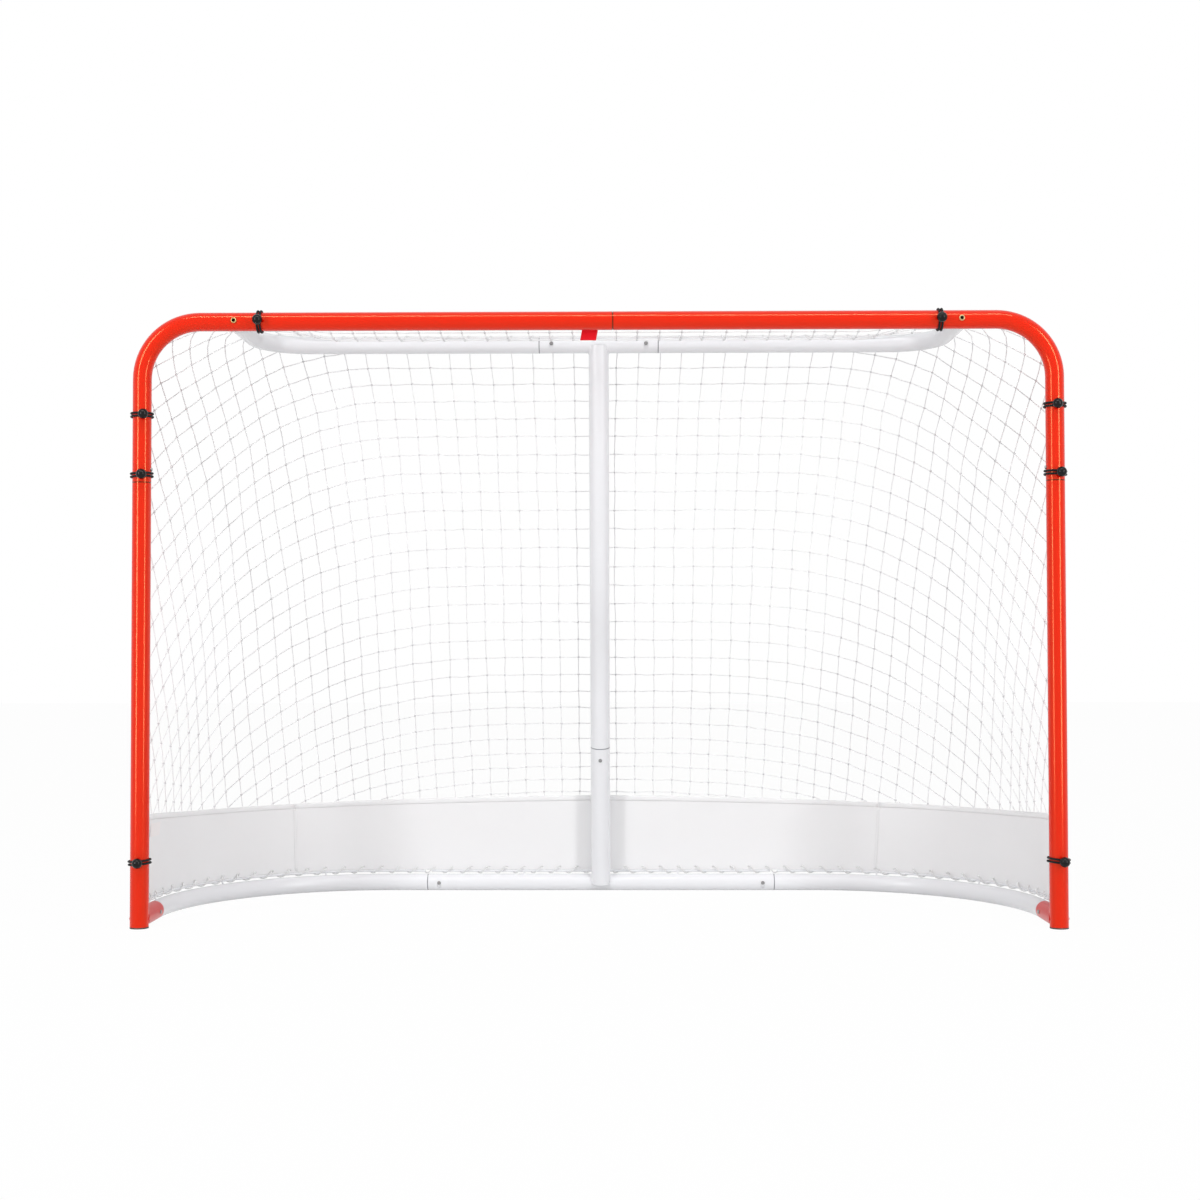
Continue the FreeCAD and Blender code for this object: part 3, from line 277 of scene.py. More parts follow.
def build_joint_shade_group():
    """Painted shade in a joint's gap: a thin band across an axis, between a lowest and a highest point.
    """
    tree, given, end = new_group("painted_joint_shade", SHADER, {
        "Color": GREY, "Line Color": (0.1, 0.1, 0.1, 1.0), "Axis": (1.0, 0.0, 0.0), "Position": 0.0,
        "Width": 0.001, "Lowest": -1.0, "Highest": 9.0}, {"Color": COLOR})
    where = add_node(tree, "ShaderNodeTexCoord").outputs["Object"]
    along = add_node(tree, "ShaderNodeVectorMath", where, given["Axis"],
                     settings={"operation": "DOT_PRODUCT"}).outputs["Value"]
    away = calculate(tree, "ABSOLUTE", calculate(tree, "SUBTRACT", along, given["Position"]))
    mask = calculate(tree, "LESS_THAN", away, given["Width"])
    height = add_node(tree, "ShaderNodeSeparateXYZ", where).outputs[2]
    for operation, label in (("GREATER_THAN", "Lowest"), ("LESS_THAN", "Highest")):
        mask = calculate(tree, "MULTIPLY", mask, calculate(tree, operation, height, given[label]))
    return end_group(tree, end, Color=mix_colors(tree, mask, given["Color"], given["Line Color"]))


def build_recess_shade_group():
    """Painted shade in a screw head's recess: a dark round spot seen along Y, the same on both halves."""
    tree, given, end = new_group("painted_recess_shade", SHADER, {
        "Color": GREY, "Recess Color": (0.02, 0.02, 0.02, 1.0), "X": 0.0, "Z": 0.0, "Radius": 0.003},
        {"Color": COLOR})
    where = add_node(tree, "ShaderNodeTexCoord").outputs["Object"]
    parts = add_node(tree, "ShaderNodeSeparateXYZ", where)
    across = calculate(tree, "SUBTRACT", calculate(tree, "ABSOLUTE", parts.outputs[0]), given["X"])
    above = calculate(tree, "SUBTRACT", parts.outputs[2], given["Z"])
    squares = [calculate(tree, "MULTIPLY", value, value) for value in (across, above)]
    reach = calculate(tree, "SQRT", calculate(tree, "ADD", *squares))
    mask = calculate(tree, "LESS_THAN", reach, given["Radius"])
    return end_group(tree, end, Color=mix_colors(tree, mask, given["Color"], given["Recess Color"]))


coat_group = build_coat_group()
joint_shade_group = build_joint_shade_group()
recess_shade_group = build_recess_shade_group()
strand_group = build_strand_group()
weave_group = build_weave_group()
print("shader groups", [group.name for group in bpy.data.node_groups])

# %% [markdown]
# ## Materials
#
# Each finish of the goal is one material. Values that are the same all over a surface, such as
# the coat's roughness, are set on the shader itself. What changes over the surface comes from a
# shared group, with that material's own numbers. Painted shade in the tubes' joints and in the
# bolts' recesses is put on as marks, each one more group that the colour passes through.


# %% Materials
def new_material(name, group, values, bump, **shader):
    """A material on a shared group. values fill the group, shader sets the Principled sockets."""
    material = bpy.data.materials.new(name)
    material.use_nodes = True
    tree = material.node_tree
    principled = tree.nodes["Principled BSDF"]
    for key, value in shader.items():
        fill(tree, principled.inputs[key.replace("_", " ")], value)
    made = add_node(tree, "ShaderNodeGroup", settings={"node_tree": group}, **values)
    fill(tree, principled.inputs["Base Color"], made.outputs["Color"])
    if "Roughness" in made.outputs:
        fill(tree, principled.inputs["Roughness"], made.outputs["Roughness"])
    relief = add_node(tree, "ShaderNodeBump", Height=made.outputs["Height"], Strength=bump[0],
                      Distance=bump[1])
    fill(tree, principled.inputs["Normal"], relief.outputs[0])
    return material


def rgb(red, green, blue):
    """A colour from 0 to 255 values, as the shader reads it."""
    shares = (red / 255, green / 255, blue / 255)
    return (*[c / 12.92 if c < 0.0431 else ((c + 0.055) / 1.055) ** 2.4 for c in shares], 1.0)


def coated(name, color, roughness, dust=0.05, spread=0.08, peel=900.0, bump=0.05,
           dust_color=rgb(205, 200, 195), **shader):
    """A painted, plated or moulded finish."""
    values = {"Color": color, "Dust_Color": dust_color, "Dust": dust, "Peel_Scale": peel,
              "Roughness": roughness, "Roughness_Spread": spread}
    return new_material(name, coat_group, values, (bump, 0.0002), **shader)


def mark(material, group, **values):
    """Puts one more mark on a material: its colour so far goes through a shared group."""
    tree = material.node_tree
    color_in = tree.nodes["Principled BSDF"].inputs["Base Color"]
    made = add_node(tree, "ShaderNodeGroup", settings={"node_tree": group},
                    Color=color_in.links[0].from_socket, **values)
    tree.links.new(made.outputs["Color"], color_in)


red_paint = coated("red_powder_coat", rgb(222, 10, 0), 0.15, dust=0.02, dust_color=rgb(206, 44, 24),
                   Specular_IOR_Level=1.0, Specular_Tint=(1.0, 0.42, 0.18, 1.0))
socket_paint = coated("socket_red_coat", rgb(206, 40, 38), 0.3, dust=0.1, dust_color=rgb(216, 90, 84),
                      Specular_IOR_Level=0.5, Specular_Tint=(1.0, 0.5, 0.4, 1.0))
white_paint = coated("white_powder_coat", rgb(232, 233, 236), 0.22, dust=0.04,
                     dust_color=rgb(218, 218, 218), Specular_IOR_Level=0.45)
zinc = coated("yellow_zinc", rgb(196, 168, 112), 0.3, dust=0.2, peel=1500.0, Metallic=1.0)
button_plate = coated("plated_button", rgb(150, 150, 150), 0.32, dust=0.15, peel=1500.0, Metallic=1.0)
spring_steel = coated("spring_steel", rgb(150, 150, 152), 0.4, dust=0.25, Metallic=1.0)
plug_plastic = coated("plug_plastic", rgb(52, 30, 28), 0.5, dust=0.3, peel=1200.0, bump=0.2)
ball_plastic = coated("ball_gloss_black", rgb(10, 10, 11), 0.16, dust=0.03, peel=400.0, bump=0.02,
                      dust_color=rgb(30, 30, 32), Specular_IOR_Level=0.22)
label_film = coated("label_film", rgb(244, 240, 240), 0.35, dust=0.1, peel=700.0)
thread = coated("sewing_thread", rgb(226, 226, 227), 0.6, dust=0.2, peel=2500.0, bump=0.3)

# Each cord's groove colour is painted shade between its strands.
twine = new_material("net_twine", strand_group, {
    "Color": rgb(252, 252, 253), "Groove_Color": rgb(218, 218, 220), "Strands": 2.0, "Pitch": 0.009,
    "Braid": 0.0}, (0.5, 0.0003), Roughness=0.75, Sheen_Weight=0.25, Sheen_Roughness=0.5)
lace_cord = new_material("lacing_cord", strand_group, {
    "Color": rgb(242, 242, 242), "Groove_Color": rgb(140, 140, 143), "Strands": 4.0, "Pitch": 0.006,
    "Braid": 1.0}, (0.7, 0.0004), Roughness=0.7, Sheen_Weight=0.2, Sheen_Roughness=0.5)
elastic = new_material("elastic_cover", strand_group, {
    "Color": rgb(20, 20, 22), "Groove_Color": rgb(5, 5, 6), "Strands": 6.0, "Pitch": 0.004,
    "Braid": 1.0}, (0.8, 0.0004), Roughness=0.6, Specular_IOR_Level=0.2, Sheen_Weight=0.05,
    Sheen_Roughness=0.4)
vinyl = new_material("skirt_vinyl", weave_group, {
    "Color": rgb(241, 241, 242), "Shade_Color": rgb(220, 221, 223), "Thread": 0.0011,
    "Contrast": 0.3}, (0.18, 0.0003), Roughness=0.5, Specular_IOR_Level=0.3)
tag_fabric = new_material("tag_tape", weave_group, {
    "Color": rgb(248, 22, 40), "Shade_Color": rgb(196, 10, 24), "Thread": 0.0006,
    "Contrast": 0.5}, (0.6, 0.0002), Roughness=0.7, Specular_IOR_Level=0.2)
print("materials", len(bpy.data.materials))

# %% Painted shade in joints and bolt recesses
ALONG_X = (1, 0, 0)
JOINT_SHADE_RED = rgb(96, 6, 4)
JOINT_SHADE_GREY = rgb(140, 142, 148)
CROSSBAR_JOINT, POST_JOINT, STEM_JOINT = 0.032, 0.908, 0.330
stem_axis = (0.0, -math.sin(LEAN), math.cos(LEAN))
stem_joint = Vector(stem_axis).dot(place(0, FOOT_Y, BASE_Z)) + STEM_JOINT

# Painted shade in the recess of each bolt head on the crossbar.
mark(zinc, recess_shade_group, Recess_Color=rgb(28, 18, 12), X=SHELF_ARM_X / 1000, Z=CROSSBAR_Z / 1000,
     Radius=0.0037)
# Painted shade in the gaps where the tubes plug together: dark red on red tubes, grey on white.
mark(red_paint, joint_shade_group, Line_Color=JOINT_SHADE_RED, Axis=ALONG_X, Position=CROSSBAR_JOINT, Width=0.0014,
     Lowest=1.2)
mark(red_paint, joint_shade_group, Line_Color=JOINT_SHADE_RED, Axis=(0, 0, 1), Position=POST_JOINT, Width=0.0012)
for joint_x, low, high in ((BASE_JOINT_X, -1.0, 0.1), (SHELF_JOINT_X, 1.2, 9.0)):
    for side in (-1, 1):
        mark(white_paint, joint_shade_group, Line_Color=JOINT_SHADE_GREY, Axis=ALONG_X,
             Position=side * joint_x / 1000, Width=0.001, Lowest=low, Highest=high)
mark(white_paint, joint_shade_group, Line_Color=JOINT_SHADE_GREY, Axis=stem_axis, Position=stem_joint, Width=0.001)
print("upright's joint", round(stem_joint, 3), "m along its axis")

# %% [markdown]
# The nodes that stay as they are in the model only need their finish. The tubes, the lacing rods
# and the bolts are right as they are, and so are the balls and the bare label.

# %% Finishes of the nodes that stay
FINISHES = {
    "red_paint": red_paint, "white_paint": white_paint, "plug_plastic": plug_plastic,
    "zinc_bolt": zinc, "plain_steel": spring_steel, "button_steel": button_plate,
    "net_twine": twine, "skirt_vinyl": vinyl, "lacing_cord": lace_cord, "tie_ball": ball_plastic,
    "tie_elastic": elastic, "tag_fabric": tag_fabric, "label_film": label_film,
}
for part in frame["record"]["subparts"]:
    node = frame["nodes"][part["node"]]
    finish = FINISHES[part["material_slot"]]
    if node.name.endswith("base_socket"):
        finish = socket_paint
    node.data.materials.clear()
    node.data.materials.append(finish)

# %% [markdown]
# ## Geometry trees for what repeats
#
# Four small trees make everything that repeats. The first turns a mesh of points and edges into
# twine with a knot at each marked point. The second turns a line of points into a cord. The
# third sets copies of a small stitch along a line, and the fourth lays the ripples of a weld.
# Each ends by realising its instances, so the result is one plain mesh.

# %% Geometry trees
GEOMETRY_TREE = "GeometryNodeTree"
GEOMETRY_OUT = {"Geometry": GEOMETRY}
TWINE_SIDES = 6
CORD_SIDES = 10
KNOT_TILT = 0.6
KNOT_SHAPE = (1.15, 0.85, 1.0)


def end_geometry(tree, given, end, geometry):
    """Closes a geometry tree: real instances, smooth faces and the material."""
    real = add_node(tree, "GeometryNodeRealizeInstances", geometry)
    shaded = add_node(tree, "GeometryNodeSetShadeSmooth", Geometry=real.outputs[0], Shade_Smooth=True)
    painted = add_node(tree, "GeometryNodeSetMaterial", Geometry=shaded.outputs[0],
                       Material=given["Material"])
    return end_group(tree, end, Geometry=painted.outputs[0])


def swept(tree, given, sides):
    """The cord's skin along the edges of the incoming mesh, with cord_uv stored on it."""
    path = add_node(tree, "GeometryNodeMeshToCurve", given["Mesh"])
    ring = add_node(tree, "GeometryNodeCurvePrimitiveCircle", Resolution=sides, Radius=given["Radius"])
    marks = []
    for source, output in ((path, "Length"), (ring, "Factor")):
        capture = tree.nodes.new("GeometryNodeCaptureAttribute")
        capture.capture_items.new("FLOAT", "Mark")
        parameter = add_node(tree, "GeometryNodeSplineParameter").outputs[output]
        fill(tree, capture.inputs[0], source.outputs[0])
        fill(tree, capture.inputs[1], parameter)
        marks.append(capture.outputs)
    skin = add_node(tree, "GeometryNodeCurveToMesh", Curve=marks[0][0], Profile_Curve=marks[1][0],
                    Fill_Caps=True)
    pair = add_node(tree, "ShaderNodeCombineXYZ", X=marks[1][1], Y=marks[0][1])
    stored = add_node(tree, "GeometryNodeStoreNamedAttribute", Geometry=skin.outputs[0], Name="cord_uv",
                      settings={"data_type": "FLOAT_VECTOR", "domain": "POINT"})
    vector_in = [s for s in stored.inputs if s.name == "Value" and s.enabled][0]
    fill(tree, vector_in, pair.outputs[0])
    return stored.outputs[0]


def build_twine_tree():
    """Twine along every edge, and a knot at each point whose attribute knot is above zero."""
    tree, given, end = new_group("knotted_twine", GEOMETRY_TREE, {
        "Mesh": GEOMETRY, "Radius": 0.00125, "Knot Radius": 0.0024, "Material": MATERIAL}, GEOMETRY_OUT)
    skin = swept(tree, given, TWINE_SIDES)
    known = add_node(tree, "GeometryNodeInputNamedAttribute", Name="knot",
                     settings={"data_type": "FLOAT"})
    knotted = add_node(tree, "FunctionNodeCompare", known.outputs[0],
                       settings={"data_type": "FLOAT", "operation": "GREATER_THAN"})
    # A knot has no cord_uv, so the twine's material paints it all in the grooves' painted shade.
    ball = add_node(tree, "GeometryNodeMeshUVSphere", Segments=7, Rings=5, Radius=given["Knot Radius"])
    tilt = add_node(tree, "FunctionNodeRandomValue", (-KNOT_TILT,) * 3, (KNOT_TILT,) * 3, Seed=3,
                    settings={"data_type": "FLOAT_VECTOR"})
    knots = add_node(tree, "GeometryNodeInstanceOnPoints", Points=given["Mesh"],
                     Selection=knotted.outputs[0], Instance=ball.outputs[0], Rotation=tilt.outputs[0],
                     Scale=KNOT_SHAPE)
    joined = add_node(tree, "GeometryNodeJoinGeometry")
    for source in (skin, knots.outputs[0]):
        fill(tree, joined.inputs[0], source)
    return end_geometry(tree, given, end, joined.outputs[0])


def build_cord_tree():
    """A cord along a line of points."""
    tree, given, end = new_group("round_cord", GEOMETRY_TREE, {
        "Mesh": GEOMETRY, "Radius": 0.0015, "Material": MATERIAL}, GEOMETRY_OUT)
    return end_geometry(tree, given, end, swept(tree, given, CORD_SIDES))


def build_copies_tree(name, segments, rings):
    """Small rounded copies along a line: stitches, or the ripples of a weld."""
    tree, given, end = new_group(name, GEOMETRY_TREE, {
        "Mesh": GEOMETRY, "Spacing": 0.004, "Size X": 0.0003, "Size Y": 0.0003, "Size Z": 0.0014,
        "Material": MATERIAL}, GEOMETRY_OUT)
    path = add_node(tree, "GeometryNodeMeshToCurve", given["Mesh"])
    spaced = add_node(tree, "GeometryNodeCurveToPoints", settings={"mode": "LENGTH"},
                      Curve=path.outputs[0], Length=given["Spacing"])
    size = add_node(tree, "ShaderNodeCombineXYZ", given["Size X"], given["Size Y"], given["Size Z"])
    bead = add_node(tree, "GeometryNodeMeshUVSphere", Segments=segments, Rings=rings, Radius=1.0)
    copies = add_node(tree, "GeometryNodeInstanceOnPoints", Points=spaced.outputs[0],
                      Instance=bead.outputs[0], Rotation=spaced.outputs["Rotation"],
                      Scale=size.outputs[0])
    return end_geometry(tree, given, end, copies.outputs[0])


twine_tree = build_twine_tree()
cord_tree = build_cord_tree()
stitch_tree = build_copies_tree("stitches", 6, 5)
weld_tree = build_copies_tree("weld_ripples", 10, 7)
print("geometry trees", [tree.name for tree in (twine_tree, cord_tree, stitch_tree, weld_tree)])

# %% [markdown]
# A tree works on a mesh of points and edges, which `Lines` collects. The result is kept as a
# plain mesh, so the tree isn't needed afterwards. Each piece then rides on the frame, and the
# nodes of the model that it stands for are hidden.


# %% Lines and the pieces made from them
class Lines:
    """Points joined by edges, with a mark for each point that has a knot."""

    def __init__(self, *runs):
        self.points, self.edges, self.marks, self.known = [], [], [], {}
        for run in runs:
            self.add_run(run)

    def point(self, key, drawn, mark=0.0):
        """The number of the point with a key, which is added if it is new."""
        if key not in self.known:
            self.known[key] = len(self.points)
            self.points.append(place(*drawn))
            self.marks.append(mark)
        return self.known[key]

    def add_run(self, drawn_points):
        """Adds a line through some drawn points."""
        numbers = [self.point(("run", len(self.points)), drawn) for drawn in drawn_points]
        self.edges += zip(numbers, numbers[1:])

    def add_twine(self, keys, drawn, middle, cut):
        """Adds a twine between two drawn points, bowed through a middle, with knots where not cut."""
        names = [(keys, k) if cut[k] else keys[k] for k in (0, 1)]
        start, end = [self.point(names[k], drawn[k], float(not cut[k])) for k in (0, 1)]
        centre = self.point(tuple(names), middle)
        self.edges += [(start, centre), (centre, end)]


def apply_tree(name, lines, tree, **values):
    """Runs a tree on some lines, and returns the result as a plain object."""
    mesh = bpy.data.meshes.new(name)
    mesh.from_pydata([tuple(p) for p in lines.points], lines.edges, [])
    if any(lines.marks):
        mesh.attributes.new("knot", "FLOAT", "POINT").data.foreach_set("value", lines.marks)
    piece = new_object(name, mesh)
    modifier = piece.modifiers.new("tree", "NODES")
    modifier.node_group = tree
    keys = {s.name: s.identifier for s in tree.interface.items_tree if s.in_out == "INPUT"}
    for key, value in values.items():
        modifier[keys[key.replace("_", " ")]] = value
    bpy.context.view_layer.update()
    evaluated = piece.evaluated_get(bpy.context.evaluated_depsgraph_get())
    made = bpy.data.meshes.new_from_object(evaluated)
    piece.modifiers.clear()
    piece.data = made
    if not made.materials:
        made.materials.append(values["Material"])
    bpy.data.meshes.remove(mesh)
    print(name, "faces", len(made.polygons))
    return piece


def stand_for(piece, slot, *nodes):
    """Rides on the frame and hides the nodes it stands for. The slot is not used."""
    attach(piece, "root")
    if nodes:
        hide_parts(*nodes)


def make_cord(name, lines, radius, material, slot, *nodes):
    """A cord along some lines, as a piece that stands for its nodes."""
    cord = apply_tree(name, lines, cord_tree, Radius=radius / 1000, Material=material)
    stand_for(cord, slot, *nodes)


# %% [markdown]
# ## The surface of the netting and the skirt
#
# The net and the skirt hang on one surface. In plan it is a flat back, a round corner on each
# side and a straight stretch to each post. The corner is large on the floor and small at the
# shelf, so the surface is much like a piece of a cone. `wall_point` gives a point of it: `t` runs
# from 0 in the middle over 1 and 2 at the ends of the corner to 3 at the post.


# %% The wall surface
def flip(point, side=-1):
    """A drawn point of the right half, or its mirror image where side is below zero."""
    return np.array((math.copysign(1, side) * point[0], point[1], point[2]))


def wall_corner(z):
    """Centre and radius, in plan, of the round corner at a height."""
    share = (z - ROD_Z) / (CROSSBAR_Z - ROD_Z)
    base = (POST_X - BASE_BEND, BASE_DEPTH - BASE_BEND, BASE_BEND + ROD_OUT)
    shelf = (SHELF_ARM_X - SHELF_BEND, SHELF_DEPTH - SHELF_BEND, SHELF_BEND + NET_OFFSET)
    return [low + (high - low) * share for low, high in zip(base, shelf)]


def wall_edge_x(z):
    """How far out the front edge is, behind the post and its bend."""
    if z <= POST_STRAIGHT_Z:
        return POST_X + ROD_OUT * (POST_STRAIGHT_Z - z) / (POST_STRAIGHT_Z - ROD_Z)
    if z <= CROSSBAR_Z:
        return POST_X - FRONT_BEND + math.sqrt(FRONT_BEND ** 2 - (z - POST_STRAIGHT_Z) ** 2)
    x, y, radius = wall_corner(NET_TOP)
    share = (z - CROSSBAR_Z) / (NET_TOP - CROSSBAR_Z)
    return (POST_X - FRONT_BEND) * (1 - share) + (x + radius) * share


def wall_turn(z):
    """The angle at which the round corner meets the straight stretch."""
    x, y, radius = wall_corner(z)
    dx, dy = wall_edge_x(z) - x, EDGE_Y - y
    return math.atan2(dx, dy) - math.acos(min(1.0, radius / math.hypot(dx, dy)))


def on_corner(z, angle, out=0.0):
    """A point of the round corner, at an angle from straight back, moved outwards."""
    x, y, radius = wall_corner(z)
    return np.array((x + (radius + out) * math.sin(angle), y + (radius + out) * math.cos(angle), z))


def wall_point(t, z, out=0.0):
    """A point of the right half of the wall."""
    x, y, radius = wall_corner(z)
    if t <= 1:
        return np.array((x * t, y + radius + out, z))
    turn = wall_turn(z)
    if t <= 2:
        return on_corner(z, turn * (t - 1), out)
    start = on_corner(z, turn, out)
    end = np.array((wall_edge_x(z) + out * math.sin(turn), EDGE_Y + out * math.cos(turn), z))
    return start + (end - start) * (t - 2)


def wall_lengths(z):
    """The lengths, at a height, of half the flat back, the corner and the straight stretch."""
    x, y, radius = wall_corner(z)
    return x, radius * wall_turn(z), np.linalg.norm(wall_point(3, z) - wall_point(2, z))


def wall_station(z, s):
    """The t of a point that is a distance s from the middle, along the wall at a height."""
    back, corner, straight = wall_lengths(z)
    if s <= back:
        return s / back
    if s <= back + corner:
        return 1 + (s - back) / corner
    return 2 + (s - back - corner) / straight


# How far the skirt's top edge lies below its highest, by the distance along the wall.
DROP_ALONG = (0, 200, 400, 520, 620, 800, 900, 1000, 1075, 1180)
DROP = (0, 3, 8, 12, 15.5, 17, 16, 13, 9, 2)


def skirt_drop(s):
    """How much lower than in the middle the skirt's top edge is."""
    return float(np.interp(abs(s), DROP_ALONG, DROP))


for t, label in ((1, "behind the corner"), (3, "at the post")):
    print("wall over the skirt,", label, wall_point(t, SKIRT_TOP).round(1))

# %% [markdown]
# ## The net
#
# The real net is a flat sheet of square mesh, and it is wrapped round this surface without being
# cut. A mesh can be pulled into a diamond, but its four sides keep their length of about 43 mm.
# That is why the rows run level over the flat back, turn downwards round the corner and then run
# straight down to the posts, where they meet the skirt. A rule with a few numbers gives a row's
# height, and a small table gives how far along the wall a column is. Both were fitted to the
# real net. The table holds every fourth column or so, and what lies between is interpolated.

# %% Where each knot is
ROW_LEVEL = (1191.8, -34.68, -0.7136, 0.0227)
TURN_COLUMN = (9.79, -0.413)
TURN_COLUMNS = (8.70, 1.052)
ROW_DROP = (27.5, 0.849, -0.0247)
TABLE_COLUMNS = (0, 10, 14, 18, 22, 26, 30, 34)
TABLE_ROWS = (-6, 2, 10, 18, 26)
ALONG_WALL = (
    (0, 498, 702, 893, 1055, 1183, 1302, 1420),
    (0, 460, 632, 798, 974, 1120, 1252, 1383),
    (0, 437, 597, 752, 925, 1075, 1209, 1346),
    (0, 428, 584, 737, 896, 1042, 1178, 1314),
    (0, 419, 569, 718, 865, 1008, 1146, 1283),
)
MIDDLE_SHIFT = -8.0
SHIFTED_COLUMNS = 10
PULL = 2.5
UNEVEN = 1.3
COLUMNS = range(-36, 37)
ROWS = range(-9, 27)
net_random = random.Random(11)


def uneven():
    """The small random shift of a knot."""
    return net_random.uniform(-UNEVEN, UNEVEN)


def polynomial(factors, x):
    """The value of a polynomial, lowest power first."""
    return sum(factor * x ** k for k, factor in enumerate(factors))


def knot_height(column, row):
    """A knot's height: level over the back, then turning down with each column past the corner."""
    width = max(polynomial(TURN_COLUMNS, row), 1.0)
    past = (column - polynomial(TURN_COLUMN, row)) / width
    inside = min(max(past, 0.0), 1.0)
    fallen = inside ** 3 - inside ** 4 / 2 + max(past - 1.0, 0.0)
    return polynomial(ROW_LEVEL, row) - polynomial(ROW_DROP, row) * width * fallen


def knot_along(column, row):
    """A knot's distance from the middle along the wall, from the table."""
    levels = [float(np.interp(column, TABLE_COLUMNS, line)) for line in ALONG_WALL]
    above = (TABLE_ROWS[0] - row) / (TABLE_ROWS[1] - TABLE_ROWS[0])
    return float(np.interp(row, TABLE_ROWS, levels)) + (levels[0] - levels[1]) * max(0.0, above)


def wall_node(column, row):
    """A mesh point as (distance along the wall, height), a little uneven."""
    s = math.copysign(knot_along(abs(column), row), column)
    s += MIDDLE_SHIFT * max(0.0, 1 - abs(column) / SHIFTED_COLUMNS)
    z = knot_height(abs(column), row)
    pull = PULL * math.sin(s / 170 + 0.9) * math.sin(z / 210 + 0.4)
    return np.array((s + pull + uneven(), z + uneven()))


mesh_nodes = {(c, r): wall_node(c, r) for c in COLUMNS for r in ROWS}
print("mesh points", len(mesh_nodes))

# %% [markdown]
# Each side of a mesh is one twine. It gets a point in its middle, so that it follows the round
# corner, and a twine that would run past the edge of the wall is cut at the edge.

# %% Draw the mesh of the wall
HALVINGS = 12
SIDE_BOW = 0.015
DOWN_BOW = 0.03


def net_place(node):
    """The drawn point of a mesh point and its t, or None where it lies past the wall's edge."""
    s, z = node
    if z < SKIRT_TOP - skirt_drop(s) + TWINE_R or z > NET_TOP:
        return None
    t = wall_station(z, abs(s))
    return (flip(wall_point(t, z), s), math.copysign(t, s)) if t <= 3 else None


def trim(a, b, is_inside):
    """A twine cut at an outline: its ends and which were cut, or None if too little is left."""
    ends = [np.array(a), np.array(b)]
    cut = [not is_inside(end) for end in ends]
    if all(cut):
        return None
    for k in (0, 1):
        if cut[k]:
            low, high = ends[1 - k], ends[k]
            for step in range(HALVINGS):
                middle = (low + high) / 2
                if is_inside(middle):
                    low = middle
                else:
                    high = middle
            ends[k] = low
    return (ends, cut) if np.linalg.norm(ends[1] - ends[0]) >= 2 * TWINE_R else None


wall_nets = {"left": Lines(), "back": Lines(), "right": Lines()}


def hang_twine(a, b):
    """Adds the twine between two mesh points to the net that it belongs to."""
    left_over = trim(mesh_nodes[a], mesh_nodes[b], lambda node: net_place(node) is not None)
    if left_over is None:
        return
    ends, cut = left_over
    centre = (ends[0] + ends[1]) / 2
    shares = net_random.uniform(-SIDE_BOW, SIDE_BOW), net_random.uniform(-DOWN_BOW, 0.0)
    middle = net_place(centre + (ends[1] - ends[0])[::-1] * shares) or net_place(centre)
    if middle is None:
        return
    name = "back" if abs(middle[1]) <= 1 else ("right" if middle[1] > 0 else "left")
    wall_nets[name].add_twine((a, b), [net_place(end)[0] for end in ends], middle[0], cut)


for c in COLUMNS:
    for r in ROWS:
        if c + 1 in COLUMNS:
            hang_twine((c, r), (c + 1, r))
        if r + 1 in ROWS:
            hang_twine((c, r), (c, r + 1))
print({name: (len(net.points), len(net.edges)) for name, net in wall_nets.items()})

# %% [markdown]
# The net's edges run along a slightly thicker border twine: down behind each post, and along the
# crossbar and the shelf. At the skirt the meshes are sewn straight to the hem.

# %% Build the wall nets
BORDER_R = 1.3
KNOT_R = 2.5
TWINE_VALUES = {"Radius": TWINE_R / 1000, "Knot_Radius": KNOT_R / 1000, "Material": twine}

edge_heights = np.concatenate([np.linspace(SKIRT_TOP, POST_STRAIGHT_Z, 30),
                               np.linspace(POST_STRAIGHT_Z, NET_TOP, 22)[1:]])
corner_steps = np.concatenate([np.linspace(1, 2, 24), np.linspace(2, 3, 8)[1:]])
half_back = wall_point(1, NET_TOP)[0]
border_runs = {
    "back": [[wall_point(0, NET_TOP) + (x, 0, 0) for x in np.linspace(-half_back, half_back, 20)]],
    "right": [[wall_point(t, NET_TOP) for t in corner_steps], [wall_point(3, z) for z in edge_heights]],
}
border_runs["left"] = [[flip(point) for point in run] for run in border_runs["right"]]

for name, net in wall_nets.items():
    netting = apply_tree(name + "_netting", net, twine_tree, **TWINE_VALUES)
    stand_for(netting, "net_twine", "back_net" if name == "back" else name + "_side_net")
    make_cord(name + "_net_border", Lines(*border_runs[name]), BORDER_R, twine, "net_twine")

# %% [markdown]
# ## The top net
#
# Between the crossbar and the shelf the same mesh goes on as a roof. It isn't pulled tight, so it
# sags towards the middle, and its meshes show as a row of small boxes in front of the shelf.

# %% The top net
TOP_SAG = 30.0
TOP_ROWS = 7
ROOF_MESH = 46.3
ROOF_COLUMNS = range(-18, 19)
REST_Y = SHELF_DEPTH - 8.0
SAG_ENDS = SHELF_ARM_X - 42.0
SAG_FADES = 140.0
top_x, top_y, top_radius = wall_corner(NET_TOP)
TOP_BACK = top_y + top_radius
top_net = Lines()


def in_roof(spot):
    """True inside the roof's outline in plan."""
    x, y = abs(spot[0]), spot[1]
    if y < EDGE_Y or y > TOP_BACK or x > top_x + top_radius:
        return False
    return x <= top_x or y <= top_y or math.hypot(x - top_x, y - top_y) <= top_radius


